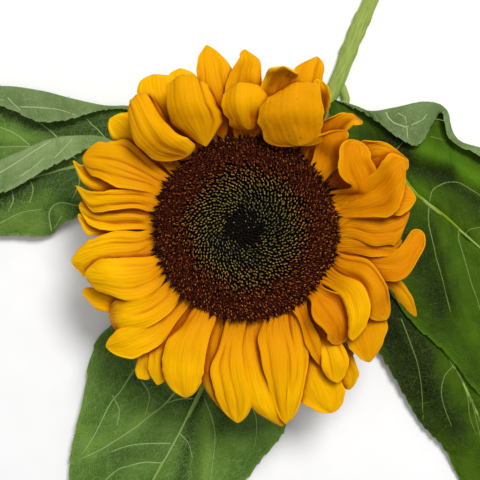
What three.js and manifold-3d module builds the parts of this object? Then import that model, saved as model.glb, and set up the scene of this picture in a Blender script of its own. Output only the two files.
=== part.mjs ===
// A cut sunflower lying on a table: one flower head face up, its bent stem and five leaves.
// Millimetres, +Z up. The head's axis is at X = Y = 0 until the last lines, which move the
// whole flower so that the middle of its underside is at the origin.
import * as THREE from 'three';
import { mergeVertices } from 'three/addons/utils/BufferGeometryUtils.js';
import Module from 'manifold-3d';

const wasm = await Module();
wasm.setup();

const GAP = 0.3; // clear space between neighbours that touch on the real flower
const PETAL_PLANE = 45; // height of the ring that the petals grow from
const PETAL_ROOT = 35.5; // radius of that ring
const PETAL_THICK = 0.9;
const PETAL_GAP = 0.4; // between petals, whose facets differ a little from their true curves
const NARROWEST = 0.5; // half width of a petal's or a leaf's very tip
const TIGHTEST_BOW = 1.15; // a petal never rolls to a radius under this many times half its thickness
const BRACT_THICK = 0.9;
const LEAF_THICK = 1.8;
const STEM_RADIUS = 3.2;
const NECK_RADIUS = 4.4; // where the neck meets the head

// ---------------------------------------------------------------- small maths

const rad = THREE.MathUtils.degToRad;
const lerp = THREE.MathUtils.lerp;
const clamp = THREE.MathUtils.clamp;

function smooth(x) {
  const t = clamp(x, 0, 1);
  return t * t * (3 - 2 * t);
}

// A smooth curve through evenly spaced values, numbers or vectors given as arrays.
function through(values, t) {
  const last = values.length - 1;
  const x = clamp(t, 0, 1) * last;
  const i = Math.min(Math.floor(x), last - 1);
  const u = x - i;
  const blend = (a, b, c, d) =>
    0.5 * (2 * b + (c - a) * u + (2 * a - 5 * b + 4 * c - d) * u * u + (3 * b - a - 3 * c + d) * u ** 3);
  const at = (k, pick) => {
    if (k < 0) return 2 * pick(values[0]) - pick(values[1]);
    if (k > last) return 2 * pick(values[last]) - pick(values[last - 1]);
    return pick(values[k]);
  };
  const along = (pick) => blend(at(i - 1, pick), at(i, pick), at(i + 1, pick), at(i + 2, pick));
  if (typeof values[0] === 'number') return along((v) => v);
  return new THREE.Vector3(...[0, 1, 2].map((axis) => along((v) => v[axis])));
}

// ---------------------------------------------------------------- meshes and solids

// A closed blade between two grids of points, over[i][j] and under[i][j].
function bladeGeometry(over, under) {
  const rows = over.length;
  const cols = over[0].length;
  const points = [...over.flat(), ...under.flat()];
  const top = (i, j) => i * cols + j;
  const low = (i, j) => rows * cols + i * cols + j;
  const index = [];
  const quad = (a, b, c, d) => index.push(a, b, c, a, c, d);
  for (let i = 0; i < rows - 1; i += 1) {
    for (let j = 0; j < cols - 1; j += 1) {
      quad(top(i, j), top(i + 1, j), top(i + 1, j + 1), top(i, j + 1));
      quad(low(i, j), low(i, j + 1), low(i + 1, j + 1), low(i + 1, j));
    }
    quad(top(i, 0), low(i, 0), low(i + 1, 0), top(i + 1, 0));
    quad(top(i + 1, cols - 1), low(i + 1, cols - 1), low(i, cols - 1), top(i, cols - 1));
  }
  for (let j = 0; j < cols - 1; j += 1) {
    quad(top(0, j + 1), low(0, j + 1), low(0, j), top(0, j));
    quad(top(rows - 1, j), low(rows - 1, j), low(rows - 1, j + 1), top(rows - 1, j + 1));
  }
  const geometry = new THREE.BufferGeometry().setFromPoints(points);
  geometry.setIndex(index);
  return geometry;
}

// A round tube with closed ends: centres is a list of points, radius a function of 0 to 1.
function tubeGeometry(centres, radius, sides) {
  const up = new THREE.Vector3(0, 0, 1);
  const points = [];
  const index = [];
  const last = centres.length - 1;
  let side = null;
  centres.forEach((centre, i) => {
    const ahead = centres[Math.min(i + 1, last)];
    const behind = centres[Math.max(i - 1, 0)];
    const along = ahead.clone().sub(behind).normalize();
    side = side ? side.addScaledVector(along, -side.dot(along)) : new THREE.Vector3().crossVectors(up, along);
    if (side.length() < 0.01) side = new THREE.Vector3(1, 0, 0);
    side.normalize();
    const across = new THREE.Vector3().crossVectors(along, side);
    for (let k = 0; k < sides; k += 1) {
      const turn = (2 * Math.PI * k) / sides;
      const r = radius(i / last);
      points.push(
        centre
          .clone()
          .addScaledVector(side, r * Math.cos(turn))
          .addScaledVector(across, r * Math.sin(turn)),
      );
    }
  });
  for (let i = 0; i < last; i += 1) {
    for (let k = 0; k < sides; k += 1) {
      const a = i * sides + k;
      const b = i * sides + ((k + 1) % sides);
      index.push(a, b, b + sides, a, b + sides, a + sides);
    }
  }
  for (let k = 1; k < sides - 1; k += 1) {
    index.push(0, k + 1, k);
    index.push(last * sides, last * sides + k, last * sides + k + 1);
  }
  const geometry = new THREE.BufferGeometry().setFromPoints(points);
  geometry.setIndex(index);
  return geometry;
}

function latheGeometry(profile, segments) {
  const outline = profile.map(([r, z]) => new THREE.Vector2(r, z));
  return new THREE.LatheGeometry(outline, segments).rotateX(Math.PI / 2);
}

function solidOf(geometry) {
  const bare = geometry.clone();
  bare.deleteAttribute('normal');
  bare.deleteAttribute('uv');
  const merged = mergeVertices(bare, 1e-4);
  return new wasm.Manifold(
    new wasm.Mesh({
      numProp: 3,
      vertProperties: new Float32Array(merged.attributes.position.array),
      triVerts: new Uint32Array(merged.index.array),
    }),
  );
}

// The geometry of a solid's largest body.
function geometryOf(solid) {
  const bodies = solid.decompose().sort((a, b) => b.volume() - a.volume());
  const mesh = bodies[0].getMesh();
  const geometry = new THREE.BufferGeometry();
  const positions = new Float32Array(mesh.vertProperties);
  geometry.setAttribute('position', new THREE.BufferAttribute(positions, 3));
  geometry.setIndex(new THREE.BufferAttribute(new Uint32Array(mesh.triVerts), 1));
  return geometry;
}

function apart(a, b) {
  const p = a.boundingBox();
  const q = b.boundingBox();
  return [0, 1, 2].some((axis) => p.max[axis] < q.min[axis] || q.max[axis] < p.min[axis]);
}

// The solid less each of the others that it meets.
function clearOf(solid, others) {
  let left = solid;
  for (const other of others) {
    if (!apart(left, other)) left = left.subtract(other);
  }
  return left;
}

// ---------------------------------------------------------------- ray petals

// One petal: it is rooted at the bearing root and its furthest point lies at the bearing aim,
// reach mm from the head's axis. pitch is its slope at root and tip, in degrees: past 90 it
// curls back over the disc. turn says over which share of the length the pitch changes, bend
// swings the petal sideways, cup rolls its edges up, point sharpens its tip and level lifts its
// root off the petal plane.
function ray(root, aim, reach, width, options) {
  const usual = { level: 0, pitch: [20, -15], turn: [0, 1], bend: 0, cup: [35, 15], point: 0.3, broad: 0.5 };
  return { root, aim, reach, width, ...usual, ...options };
}

// A hooded petal lies back on itself: it is broadest near its tip and turns over in its middle.
function hood(root, aim, reach, width, options) {
  return ray(root, aim, reach, width, { broad: 0.72, turn: [0.34, 0.7], cup: [28, 30], ...options });
}

const RAYS = [
  // along the top, from left to right: the front ones are hoods that curl over the disc
  ray(141, 142, 70, 15, { level: -1, pitch: [25, -10], point: 0.5 }),
  hood(138, 128, 66, 22, { level: 1, pitch: [22, 190], point: 0.1 }),
  ray(121, 127, 59, 8, { level: 5, pitch: [35, 10], cup: [60, 60], point: 0.8 }),
  ray(124, 124, 75, 18, { level: -2, pitch: [25, 0], point: 0.6 }),
  hood(113, 110, 62, 25, { level: 2, pitch: [22, 195], point: 0.6 }),
  ray(110, 113, 71, 19, { pitch: [30, 10], point: 0.2 }),
  ray(102, 103, 74, 17, { level: -1, pitch: [25, 0], point: 0.7 }),
  hood(91, 92, 59, 20, { level: 4, pitch: [25, 185], turn: [0.4, 0.74], point: 0.1 }),
  ray(90, 91, 72, 19, { level: 1, pitch: [35, 20], point: 0.5 }),
  ray(80, 77, 66, 19, { pitch: [35, 60], cup: [30, 30], point: 0.3 }),
  ray(66, 68, 74, 16, { level: -1, pitch: [25, 10], point: 0.3 }),
  hood(62, 66, 58, 30, { level: 3, pitch: [25, 195], cup: [22, 28], point: 0 }),
  ray(60, 67, 63, 20, { level: 1, pitch: [30, 80], turn: [0.3, 1], cup: [30, 40], point: 0.1 }),
  // down the right side
  ray(49, 46, 65, 15, { pitch: [30, 10], point: 0.3 }),
  ray(38, 43, 63, 14, { level: 5, pitch: [45, 20], cup: [60, 80], point: 0.4 }),
  ray(18, 37, 59, 22, { level: 5, pitch: [30, 50], bend: -35, point: 0.2 }),
  ray(25, 27, 71, 22, { pitch: [25, 10], point: 0.3 }),
  ray(13, 22, 70, 22, { level: 4, pitch: [30, 0], point: 0.3 }),
  ray(4, 8, 70, 26, { level: 3, pitch: [25, 0], point: 0.2 }),
  ray(0, -3, 63, 17, { level: 2, pitch: [30, 0], point: 0.1 }),
  ray(-9, -7, 64, 15, { level: 1, pitch: [25, 0], point: 0.2 }),
  ray(-15, -6, 74, 17, { pitch: [20, 10], bend: -20, point: 0.2 }),
  ray(-22, -27, 78, 12, { level: -2, pitch: [15, -25], point: 0.9 }),
  ray(-20, -30, 68, 22, { level: 2, pitch: [30, -15], point: 0.2 }),
  // along the bottom, from right to left
  ray(-27, -40, 60, 9, { level: 5, pitch: [35, 0], point: 0.3 }),
  ray(-40, -45, 74, 22, { pitch: [20, -20], point: 0.2 }),
  ray(-42, -50, 60, 16, { level: 3, pitch: [35, -10], point: 0.3 }),
  ray(-52, -54, 78, 13, { level: -2, pitch: [12, -20], point: 0.4 }),
  ray(-50, -58, 74, 16, { pitch: [20, -20], point: 0.3 }),
  ray(-62, -66, 82, 21, { level: -2, pitch: [15, -20], point: 0.1 }),
  ray(-55, -62, 64, 10, { level: 4, pitch: [30, -10], point: 0.8 }),
  ray(-61, -74, 75, 17, { level: 1, pitch: [22, -22], point: 0.7 }),
  ray(-70, -79, 77, 21, { level: 3, pitch: [28, -20], point: 0.4 }),
  ray(-85, -80, 82, 22, { pitch: [20, -22], point: 0.4 }),
  ray(-96, -93, 79, 20, { level: 2, pitch: [22, -20], point: 0.4 }),
  ray(-107, -101, 71, 18, { pitch: [18, -20], point: 0.4 }),
  ray(-118, -112, 73, 22, { level: 3, pitch: [25, -20], point: 0.2 }),
  ray(-122, -121, 73, 14, { level: -1, pitch: [15, -20], point: 0.4 }),
  ray(-128, -128, 74, 13, { level: -2, pitch: [15, -20], point: 0.4 }),
  // up the left side
  ray(-134, -141, 75, 19, { pitch: [18, -20], point: 0.3 }),
  ray(-141, -147, 66, 17, { level: 2, pitch: [22, -15], point: 0.1 }),
  ray(-157, -158, 71, 15, { level: -2, pitch: [15, -20], point: 0.5 }),
  ray(-157, -164, 67, 23, { level: 3, pitch: [28, -15], point: 0.1 }),
  ray(-175, -172, 72.5, 22, { pitch: [22, -15], point: 0.3 }),
  ray(177, 177, 69, 13, { level: -2, pitch: [15, -20], point: 0.3 }),
  ray(175, 173, 67, 15, { level: 1, pitch: [25, -10], point: 0.3 }),
  ray(165, 166, 70, 17, { level: 3, pitch: [30, 0], point: 0.3 }),
  ray(161, 161, 75, 17, { level: -1, pitch: [20, -15], point: 0.5 }),
  ray(153, 156, 73, 25, { level: 2, pitch: [25, -10], point: 0.1 }),
];

// Half the petal's width as a share of its widest, s from root to tip.
function petalOutline(s, petal) {
  const claw = 0.6;
  const rise = claw + (1 - claw) * smooth(s / petal.broad);
  const x = Math.max(0, (s - petal.broad) / (1 - petal.broad));
  const round = Math.sqrt(Math.max(0, 1 - x ** 2.6));
  const sharp = (1 - x ** 1.5) ** 0.9;
  return rise * lerp(round, sharp, petal.point);
}

// The petal's middle line for a length of 1, laid along +X, with its heading and pitch.
function petalLine(petal, steps) {
  const line = [];
  const at = new THREE.Vector3();
  for (let i = 0; i <= steps; i += 1) {
    const s = i / steps;
    const heading = rad(petal.bend * (1 - 2 * s));
    const turned = smooth((s - petal.turn[0]) / (petal.turn[1] - petal.turn[0]));
    const pitch = rad(lerp(petal.pitch[0], petal.pitch[1], turned));
    line.push({ at: at.clone(), heading, pitch });
    at.x += (Math.cos(pitch) * Math.cos(heading)) / steps;
    at.y += (Math.cos(pitch) * Math.sin(heading)) / steps;
    at.z += Math.sin(pitch) / steps;
  }
  return line;
}

function polar(bearing, radius) {
  return new THREE.Vector2(radius * Math.cos(rad(bearing)), radius * Math.sin(rad(bearing)));
}

// The petal as a closed blade. grow makes it that much bigger on every side, to cut others with.
function petalSolid(petal, grow) {
  const fine = 4;
  const rows = petal.pitch[1] > 90 ? 8 : 6;
  const cols = 3;
  const line = petalLine(petal, rows * fine);
  const far = line.reduce((a, b) => (Math.hypot(b.at.x, b.at.y) > Math.hypot(a.at.x, a.at.y) ? b : a));
  const start = polar(petal.root, PETAL_ROOT);
  const chord = polar(petal.aim, petal.reach).sub(start);
  const scale = chord.length() / Math.hypot(far.at.x, far.at.y);
  const turn = Math.atan2(chord.y, chord.x) - Math.atan2(far.at.y, far.at.x);
  const over = [];
  const under = [];
  for (let i = 0; i <= rows; i += 1) {
    const s = i / rows;
    const { at, heading, pitch } = line[i * fine];
    const h = heading + turn;
    const level = new THREE.Vector3(Math.cos(h), Math.sin(h), 0);
    const along = level.multiplyScalar(Math.cos(pitch)).setZ(Math.sin(pitch));
    const side = new THREE.Vector3(-Math.sin(h), Math.cos(h), 0);
    const face = new THREE.Vector3().crossVectors(along, side);
    const centre = new THREE.Vector3(
      start.x + scale * (at.x * Math.cos(turn) - at.y * Math.sin(turn)),
      start.y + scale * (at.x * Math.sin(turn) + at.y * Math.cos(turn)),
      PETAL_PLANE + petal.level + scale * at.z,
    );
    if (i === 0) centre.addScaledVector(along, -grow);
    if (i === rows) centre.addScaledVector(along, grow);
    const half = Math.max(NARROWEST, (petal.width / 2) * petalOutline(s, petal)) + grow;
    const tightest = TIGHTEST_BOW * (PETAL_THICK / 2 + grow);
    const bow = Math.max(half / rad(lerp(petal.cup[0], petal.cup[1], s)), tightest);
    const roll = half / bow;
    const upper = [];
    const lower = [];
    for (let j = 0; j <= cols; j += 1) {
      const turned = roll * (2 * (j / cols) - 1);
      const point = centre
        .clone()
        .addScaledVector(side, bow * Math.sin(turned))
        .addScaledVector(face, bow * (1 - Math.cos(turned)));
      const normal = face.clone().multiplyScalar(Math.cos(turned));
      normal.addScaledVector(side, -Math.sin(turned));
      upper.push(point.clone().addScaledVector(normal, PETAL_THICK / 2 + grow));
      lower.push(point.clone().addScaledVector(normal, -PETAL_THICK / 2 - grow));
    }
    over.push(upper);
    under.push(lower);
  }
  return solidOf(bladeGeometry(over, under));
}

// ---------------------------------------------------------------- head

const DISC_RADIUS = 36.6;
const DISC_SIDES = 40;

function discProfile(grow) {
  const r = DISC_RADIUS + grow;
  const base = PETAL_PLANE - 3;
  return [
    [0, base - grow],
    [r, base - grow],
    [r, base + 8.5],
    [r - 1.5, base + 11],
    [r - 6, base + 13 + grow],
    [r - 18, base + 13.4 + grow],
    [9, base + 12.2 + grow],
    [0, base + 11.4 + grow],
  ];
}

const RECEPTACLE_TOP = PETAL_PLANE - 3 - GAP;
const RECEPTACLE_FOOT = 22;
const RECEPTACLE_SIDES = 28;
const BRACTS = 14;

// The fleshy dish behind the disc, with the bracts that spread from it.
function receptacleGeometry() {
  const profile = [
    [0, RECEPTACLE_FOOT],
    [NECK_RADIUS + 0.2, RECEPTACLE_FOOT],
    [8, RECEPTACLE_FOOT + 3.5],
    [20, RECEPTACLE_FOOT + 7],
    [33, RECEPTACLE_FOOT + 12],
    [39.5, RECEPTACLE_FOOT + 17],
    [40, RECEPTACLE_TOP],
    [0, RECEPTACLE_TOP],
  ];
  let joined = solidOf(latheGeometry(profile, RECEPTACLE_SIDES));
  for (let k = 0; k < BRACTS; k += 1) {
    const inner = k % 2;
    joined = joined.add(bractSolid((360 * (k + 0.3 * inner)) / BRACTS, inner));
  }
  return geometryOf(joined);
}

// One green bract under the petals, in an outer or an inner row.
function bractSolid(bearing, inner) {
  const length = inner ? 25 : 30;
  const root = inner ? 33 : 29;
  const height = inner ? 36.5 : 32.5;
  const widths = [5, 6, 4.4, 0.4]; // half widths from root to tip
  const arch = 3.4; // rise of its middle over its ends
  const trough = 0.05; // how much its edges turn up for each mm from its middle
  const up = new THREE.Vector3(0, 0, 1);
  const over = [];
  const under = [];
  widths.forEach((half, i) => {
    const s = i / (widths.length - 1);
    const out = root + length * s;
    const z = height + arch * Math.sin(Math.PI * s * 0.9);
    const points = [-half, 0, half].map((y) => {
      const point = new THREE.Vector3(out, y, z + trough * Math.abs(y));
      return point.applyAxisAngle(up, rad(bearing));
    });
    over.push(points.map((point) => point.clone().setZ(point.z + BRACT_THICK / 2)));
    under.push(points.map((point) => point.clone().setZ(point.z - BRACT_THICK / 2)));
  });
  return solidOf(bladeGeometry(over, under));
}

// ---------------------------------------------------------------- stem and neck

const NECK_REACH = 19; // how far from the head's axis the neck lies down on the table
const STEM_START = 57; // bearing of the stem as it leaves the neck
const STEM_ROUTE = [
  [10.6, 16.3],
  [27, 41],
  [41, 65],
  [49, 85],
  [57, 105],
  [70, 137],
  [85, 171],
  [102, 205],
  [118, 236],
];
const STEM_CENTRE = STEM_RADIUS + 0.05; // height of its middle line above the table
const STEM_STEPS = 20;
const STEM_SIDES = 10;
const NODES_ON_STEM = [0.42, 0.5, 0.7, 0.88]; // where side leaves were stripped off

function neckGeometry() {
  const away = polar(STEM_START, 1);
  const straight = 1.5; // a short straight length at each end
  const steps = 8;
  const top = RECEPTACLE_FOOT - GAP;
  const drop = top - straight - STEM_CENTRE;
  const centres = [new THREE.Vector3(0, 0, top)];
  for (let i = 0; i <= steps; i += 1) {
    const turn = (Math.PI / 2) * (i / steps);
    const out = (NECK_REACH - straight) * (1 - Math.cos(turn));
    centres.push(new THREE.Vector3(away.x * out, away.y * out, top - straight - drop * Math.sin(turn)));
  }
  centres.push(new THREE.Vector3(away.x * NECK_REACH, away.y * NECK_REACH, STEM_CENTRE));
  return tubeGeometry(centres, (t) => lerp(NECK_RADIUS, STEM_RADIUS, smooth(t)), 12);
}

function stemCentre(t) {
  const route = STEM_ROUTE.map(([x, y]) => [x, y, 0]);
  return through(route, t).setZ(STEM_CENTRE);
}

// The bare round stem, made grow mm thicker all round.
function stemTube(grow) {
  const centres = Array.from({ length: STEM_STEPS + 1 }, (_, i) => stemCentre(i / STEM_STEPS));
  return solidOf(tubeGeometry(centres, () => STEM_RADIUS + grow, STEM_SIDES));
}

function stemGeometry() {
  const scarRadius = 2.1;
  let joined = stemTube(0);
  NODES_ON_STEM.forEach((node, k) => {
    const along = stemCentre(node + 0.01).sub(stemCentre(node - 0.01)).normalize();
    const side = new THREE.Vector3(-along.y, along.x, 0).multiplyScalar(k % 2 ? -1 : 1);
    const scar = new THREE.IcosahedronGeometry(scarRadius, 1).scale(1, 1, 0.8);
    const middle = stemCentre(node).addScaledVector(side, STEM_RADIUS - 0.6);
    joined = joined.add(solidOf(scar.translate(middle.x, middle.y, middle.z)));
  });
  return geometryOf(joined);
}

// ---------------------------------------------------------------- leaves

// rib: points from the blade's foot to its tip. stalk: points from the stem to that foot.
// left and right: half widths from foot to tip, the slope of the half blade at rib and margin
// in degrees, and where it folds over: the share of the width, the angle, and from where to
// where along the blade. sweep: how far the side veins lean to the tip, at foot and tip.
const LEAVES = {
  leaf_right: {
    stalk: [[42.6, 60.6, 5], [41.5, 58, 6.2]],
    rib: [
      [41, 56, 7], [51, 40, 10], [62, 24, 13], [74, 14, 14],
      [87, 5, 13], [97, -2, 11], [113, -12, 7], [132, -22, 1],
    ],
    left: { widths: [12, 32, 45, 52, 50, 38, 18, 0.6], slope: [12, 0], fold: [0.62, 180, -0.1, 0.56] },
    right: { widths: [8, 30, 50, 62, 64, 52, 28, 0.6], slope: [-3, -5] },
    sweep: [-15, 40],
  },
  leaf_right_low: {
    stalk: [[35, 44, 3], [40, 24, 3.2]],
    rib: [
      [44, -2, 4], [62, -20, 4.5], [77, -38, 4.5], [91, -59, 4],
      [100, -76, 3.5], [107, -94, 3], [114, -117, 2], [118, -135, 1],
    ],
    left: { widths: [5, 25, 32, 32, 28, 22, 12, 0.6], slope: [2, -4] },
    right: { widths: [5, 22, 27, 27, 25, 20, 11, 0.6], slope: [5, -5] },
    sweep: [-10, 40],
  },
  leaf_bottom: {
    stalk: [[25.5, 31, 5], [22, 8, 6], [6, -24, 6.5]],
    rib: [
      [-10, -49, 7], [-15, -60, 8], [-22, -75, 8], [-30, -89, 7],
      [-42, -112, 5], [-49, -126, 3], [-57, -142, 1],
    ],
    left: { widths: [6, 36, 46, 49, 44, 26, 0.6], slope: [3, -3] },
    right: { widths: [6, 42, 52, 48, 34, 16, 0.6], slope: [0, -5] },
    sweep: [-20, 40],
  },
  leaf_left: {
    stalk: [[16, 26.5, 6], [-10, 30, 7.5], [-34, 30, 10]],
    rib: [
      [-51, 28, 12], [-64, 28, 13], [-75, 28, 13], [-86, 25, 12],
      [-95, 23, 11], [-109, 19, 8], [-128, 14, 4], [-147, 10, 1],
    ],
    left: { widths: [5, 17, 24, 27, 26, 20, 12, 0.6], slope: [-5, -12] },
    right: { widths: [5, 20, 28, 31, 32, 26, 14, 0.6], slope: [25, 20], fold: [0.5, 180, 0, 0.98] },
    sweep: [-10, 40],
  },
  leaf_left_high: {
    stalk: [[23.5, 44, 4], [0, 39, 4]],
    rib: [
      [-32, 35, 5], [-47, 36, 6], [-65, 36, 6], [-83, 37, 6],
      [-96, 37, 6], [-110, 37, 5], [-133, 36, 3], [-158, 34, 1],
    ],
    left: { widths: [6, 20, 30, 33, 30, 24, 14, 0.6], slope: [-6, -6] },
    right: { widths: [8, 18, 26, 33, 37, 34, 20, 0.6], slope: [20, 15], fold: [0.68, 178, 0.15, 0.95] },
    sweep: [-10, 40],
  },
};

const FOLD_LENGTH = 10; // width of leaf that a fold takes

// Points across half of the blade, from the rib out, with the normal at each.
function halfSection(centre, out, half, s, steps) {
  const fine = 4;
  const width = Math.max(NARROWEST, through(half.widths, s));
  const [foldAt, foldAngle, foldFrom, foldTo] = half.fold ?? [2, 0, 0, 1];
  const edge = 0.35 * (foldTo - foldFrom);
  const strength = smooth(Math.min((s - foldFrom) / edge, (foldTo - s) / edge));
  const up = new THREE.Vector3(0, 0, 1);
  const at = centre.clone();
  const section = [];
  for (let j = 0; j <= steps * fine; j += 1) {
    const v = j / (steps * fine);
    const folded = foldAngle * strength * smooth(((v - foldAt) * width) / FOLD_LENGTH + 0.5);
    const slope = rad(lerp(half.slope[0], half.slope[1], v) + folded);
    const normal = up.clone().multiplyScalar(Math.cos(slope));
    normal.addScaledVector(out, -Math.sin(slope));
    if (j % fine === 0) section.push({ at: at.clone(), normal });
    const step = width / (steps * fine);
    at.addScaledVector(out, step * Math.cos(slope)).addScaledVector(up, step * Math.sin(slope));
  }
  return section;
}

function bladeSolid(leaf, grow) {
  const rows = 11;
  const steps = 6;
  const rest = LEAF_THICK / 2; // the middle surface of a blade that lies on the table
  const over = [];
  const under = [];
  for (let i = 0; i <= rows; i += 1) {
    const s = i / rows;
    const centre = through(leaf.rib, s);
    const behind = through(leaf.rib, Math.max(0, s - 0.01));
    const along = through(leaf.rib, Math.min(1, s + 0.01)).sub(behind).setZ(0).normalize();
    const side = new THREE.Vector3(-along.y, along.x, 0);
    const lean = rad(lerp(leaf.sweep[0], leaf.sweep[1], s));
    const section = (half, sign) => {
      const out = side.clone().multiplyScalar(sign * Math.cos(lean));
      out.addScaledVector(along, Math.sin(lean));
      return halfSection(centre, out, half, s, steps);
    };
    const right = section(leaf.right, -1).reverse();
    const left = section(leaf.left, 1).slice(1);
    const whole = [...right, ...left];
    whole.forEach((point) => point.at.setZ(Math.max(point.at.z, rest)));
    const shell = (offset) => whole.map(({ at, normal }) => at.clone().addScaledVector(normal, offset));
    over.push(shell(rest + grow));
    under.push(shell(-rest - grow));
  }
  over.flat().forEach((point) => point.setZ(Math.max(point.z, rest)));
  under.flat().forEach((point) => point.setZ(Math.max(point.z, -grow)));
  return solidOf(bladeGeometry(over, under));
}

// The leaf's stalk, which runs on under the blade as its rib.
function stalkSolid(leaf, grow) {
  const shared = 0.55; // the share of the blade that the thick rib runs along
  const steps = 6;
  const lowest = 2.0; // the stalk's middle line stays this high above the table
  const sunk = 0.7; // and runs this far under the blade's middle surface
  const onBlade = Array.from({ length: steps + 1 }, (_, i) => through(leaf.rib, (shared * i) / steps));
  const stalk = leaf.stalk.map((point) => new THREE.Vector3(...point));
  const route = new THREE.CatmullRomCurve3([...stalk, onBlade[0]], false, 'catmullrom', 0.5);
  const free = route.getPoints(6).slice(0, -1);
  const centres = [...free, ...onBlade];
  const radius = (t) => lerp(1.9, 1.0, t) + grow;
  centres.forEach((centre) => centre.setZ(Math.max(centre.z - sunk, lowest)));
  return solidOf(tubeGeometry(centres, radius, 6));
}

// ---------------------------------------------------------------- the whole flower

const LOOKS = {
  petal: { color: 0xf2a900, roughness: 0.62 },
  disc: { color: 0x2e140b, roughness: 0.95 },
  green: { color: 0x86a552, roughness: 0.75 },
  leaf: { color: 0x3f6b1c, roughness: 0.7 },
};

const flower = new THREE.Group();

function place(name, geometry, look) {
  const mesh = new THREE.Mesh(geometry, new THREE.MeshStandardMaterial({ ...look, metalness: 0 }));
  mesh.name = name;
  flower.add(mesh);
}

function addHead() {
  place('disc', geometryOf(solidOf(latheGeometry(discProfile(0), DISC_SIDES))), LOOKS.disc);
  place('receptacle', receptacleGeometry(), LOOKS.green);
  const around = [solidOf(latheGeometry(discProfile(GAP), DISC_SIDES))];
  const names = RAYS.map((_, k) => `petal_${String(k + 1).padStart(2, '0')}`);
  const order = RAYS.map((_, k) => k).sort((a, b) => RAYS[b].level - RAYS[a].level || a - b);
  for (const k of order) {
    const solid = clearOf(petalSolid(RAYS[k], 0), around);
    place(names[k], geometryOf(solid), LOOKS.petal);
    around.push(petalSolid(RAYS[k], PETAL_GAP));
  }
}

function addStemAndLeaves() {
  const stem = stemGeometry();
  place('stem', stem, LOOKS.green);
  place('neck', neckGeometry(), LOOKS.green);
  const around = [stemTube(GAP)];
  for (const [name, leaf] of Object.entries(LEAVES)) {
    const whole = bladeSolid(leaf, 0).add(stalkSolid(leaf, 0));
    place(name, geometryOf(clearOf(whole, around)), LOOKS.leaf);
    around.push(bladeSolid(leaf, GAP).add(stalkSolid(leaf, GAP)));
  }
}

addHead();
addStemAndLeaves();

const box = new THREE.Box3().setFromObject(flower);
const middle = box.getCenter(new THREE.Vector3());
flower.position.set(-middle.x, -middle.y, -box.min.z);

export default flower;
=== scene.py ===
# A cut sunflower that lies face up on its stem and leaves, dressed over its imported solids.
# Tables and sizes of the flower are in millimetres and MM turns them to metres.
import math
import random

import bpy
import numpy as np
from mathutils import Matrix, Vector, noise


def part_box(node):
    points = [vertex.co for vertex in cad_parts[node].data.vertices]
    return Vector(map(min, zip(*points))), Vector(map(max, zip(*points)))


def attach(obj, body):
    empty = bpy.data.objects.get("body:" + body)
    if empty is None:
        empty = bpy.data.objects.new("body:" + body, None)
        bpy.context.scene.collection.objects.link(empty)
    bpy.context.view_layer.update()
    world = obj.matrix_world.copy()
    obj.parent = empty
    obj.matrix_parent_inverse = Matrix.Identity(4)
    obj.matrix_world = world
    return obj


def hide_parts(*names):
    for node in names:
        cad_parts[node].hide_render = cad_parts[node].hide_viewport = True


bl_info = {
    "name": "Cut Sunflower",
    "version": (1, 0, 0),
    "blender": (4, 5, 0),
    "location": "3D View > Sidebar > Sunflower",
    "description": "Petals, florets, leaves and stem of a cut sunflower that lies face up",
    "category": "Add Mesh",
}

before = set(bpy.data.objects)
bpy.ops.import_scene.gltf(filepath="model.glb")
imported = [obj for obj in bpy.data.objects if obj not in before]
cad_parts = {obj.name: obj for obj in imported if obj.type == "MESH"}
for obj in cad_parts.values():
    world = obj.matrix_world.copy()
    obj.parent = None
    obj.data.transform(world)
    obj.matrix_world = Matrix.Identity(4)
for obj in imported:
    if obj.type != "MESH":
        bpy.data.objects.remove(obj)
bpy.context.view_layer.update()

MM = 0.001
BODY = "root"
DISC_LOW, DISC_HIGH = (Vector(corner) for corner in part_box("disc"))
HEAD = Vector(((DISC_LOW.x + DISC_HIGH.x) / 2, (DISC_LOW.y + DISC_HIGH.y) / 2, 0.0))  # the head's axis
DISC_RADIUS = (DISC_HIGH.x - DISC_LOW.x) / 2 / MM
PETAL_PLANE = 45.0  # height of the ring that the petals grow from
PETAL_ROOT = 35.5  # radius of that ring
PETAL_CLAW = 4.2  # half the width of a petal where it leaves the ring
PETAL_ROWS, PETAL_COLS = 40, 32
# painted shade: the four settings below find where other petals lie close over a petal, and that place is
# painted darker
COVER_REACH = 110.0  # half the side of the plan in which covered places are found
COVER_CELL = 0.8  # side of that plan's cells
COVER_RINGS = [(0.9, 1.2), (1.8, 0.9), (3.0, 0.6), (5.0, 0.4)]  # radius and weight round a place
COVER_GAP, COVER_DEPTH = 0.4, 1.6  # how far above a place its cover starts, and how much more is full
# the warm share is partly a petal's own warmer hue and partly painted shade
WARM_SHADE_MIDDLE, WARM_SHADE_EDGE, WARM_SHADE_TIP = 1.08, 0.45, 0.35  # a petal's warm share; what margins and tip lack
CRISP_ANGLE = math.radians(60)  # a sheet's rim stays crisp where it turns by more than this
RIDGE_ANGLE = math.radians(40)  # and a stalk's ridges where they turn by more than this
STEM_RADIUS = 3.2
NOISE_LAYER = 7.3  # how far the noise of one seed lies from the next
GOLDEN_TURN = math.pi * (3.0 - math.sqrt(5.0))  # between one floret and the next


# ---------------------------------------------------------------- small maths


def smooth(x):
    """0 below 0, 1 over 1, and an even S between."""
    t = np.clip(x, 0.0, 1.0)
    return t * t * (3.0 - 2.0 * t)


def lerp(a, b, t):
    """From a at 0 to b at 1."""
    return a + (b - a) * t


def through(values, t):
    """A smooth curve through evenly spaced values, numbers or points, at t from 0 to 1."""
    table = np.array(values, dtype=float)
    last = len(table) - 1
    table = np.concatenate([[2 * table[0] - table[1]], table, [2 * table[last] - table[last - 1]]])
    x = min(max(t, 0.0), 1.0) * last
    i = min(int(x), last - 1)
    u = x - i
    a, b, c, d = table[i : i + 4]
    return 0.5 * (2 * b + (c - a) * u + (2 * a - 5 * b + 4 * c - d) * u**2 + (3 * b - a - 3 * c + d) * u**3)


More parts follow.
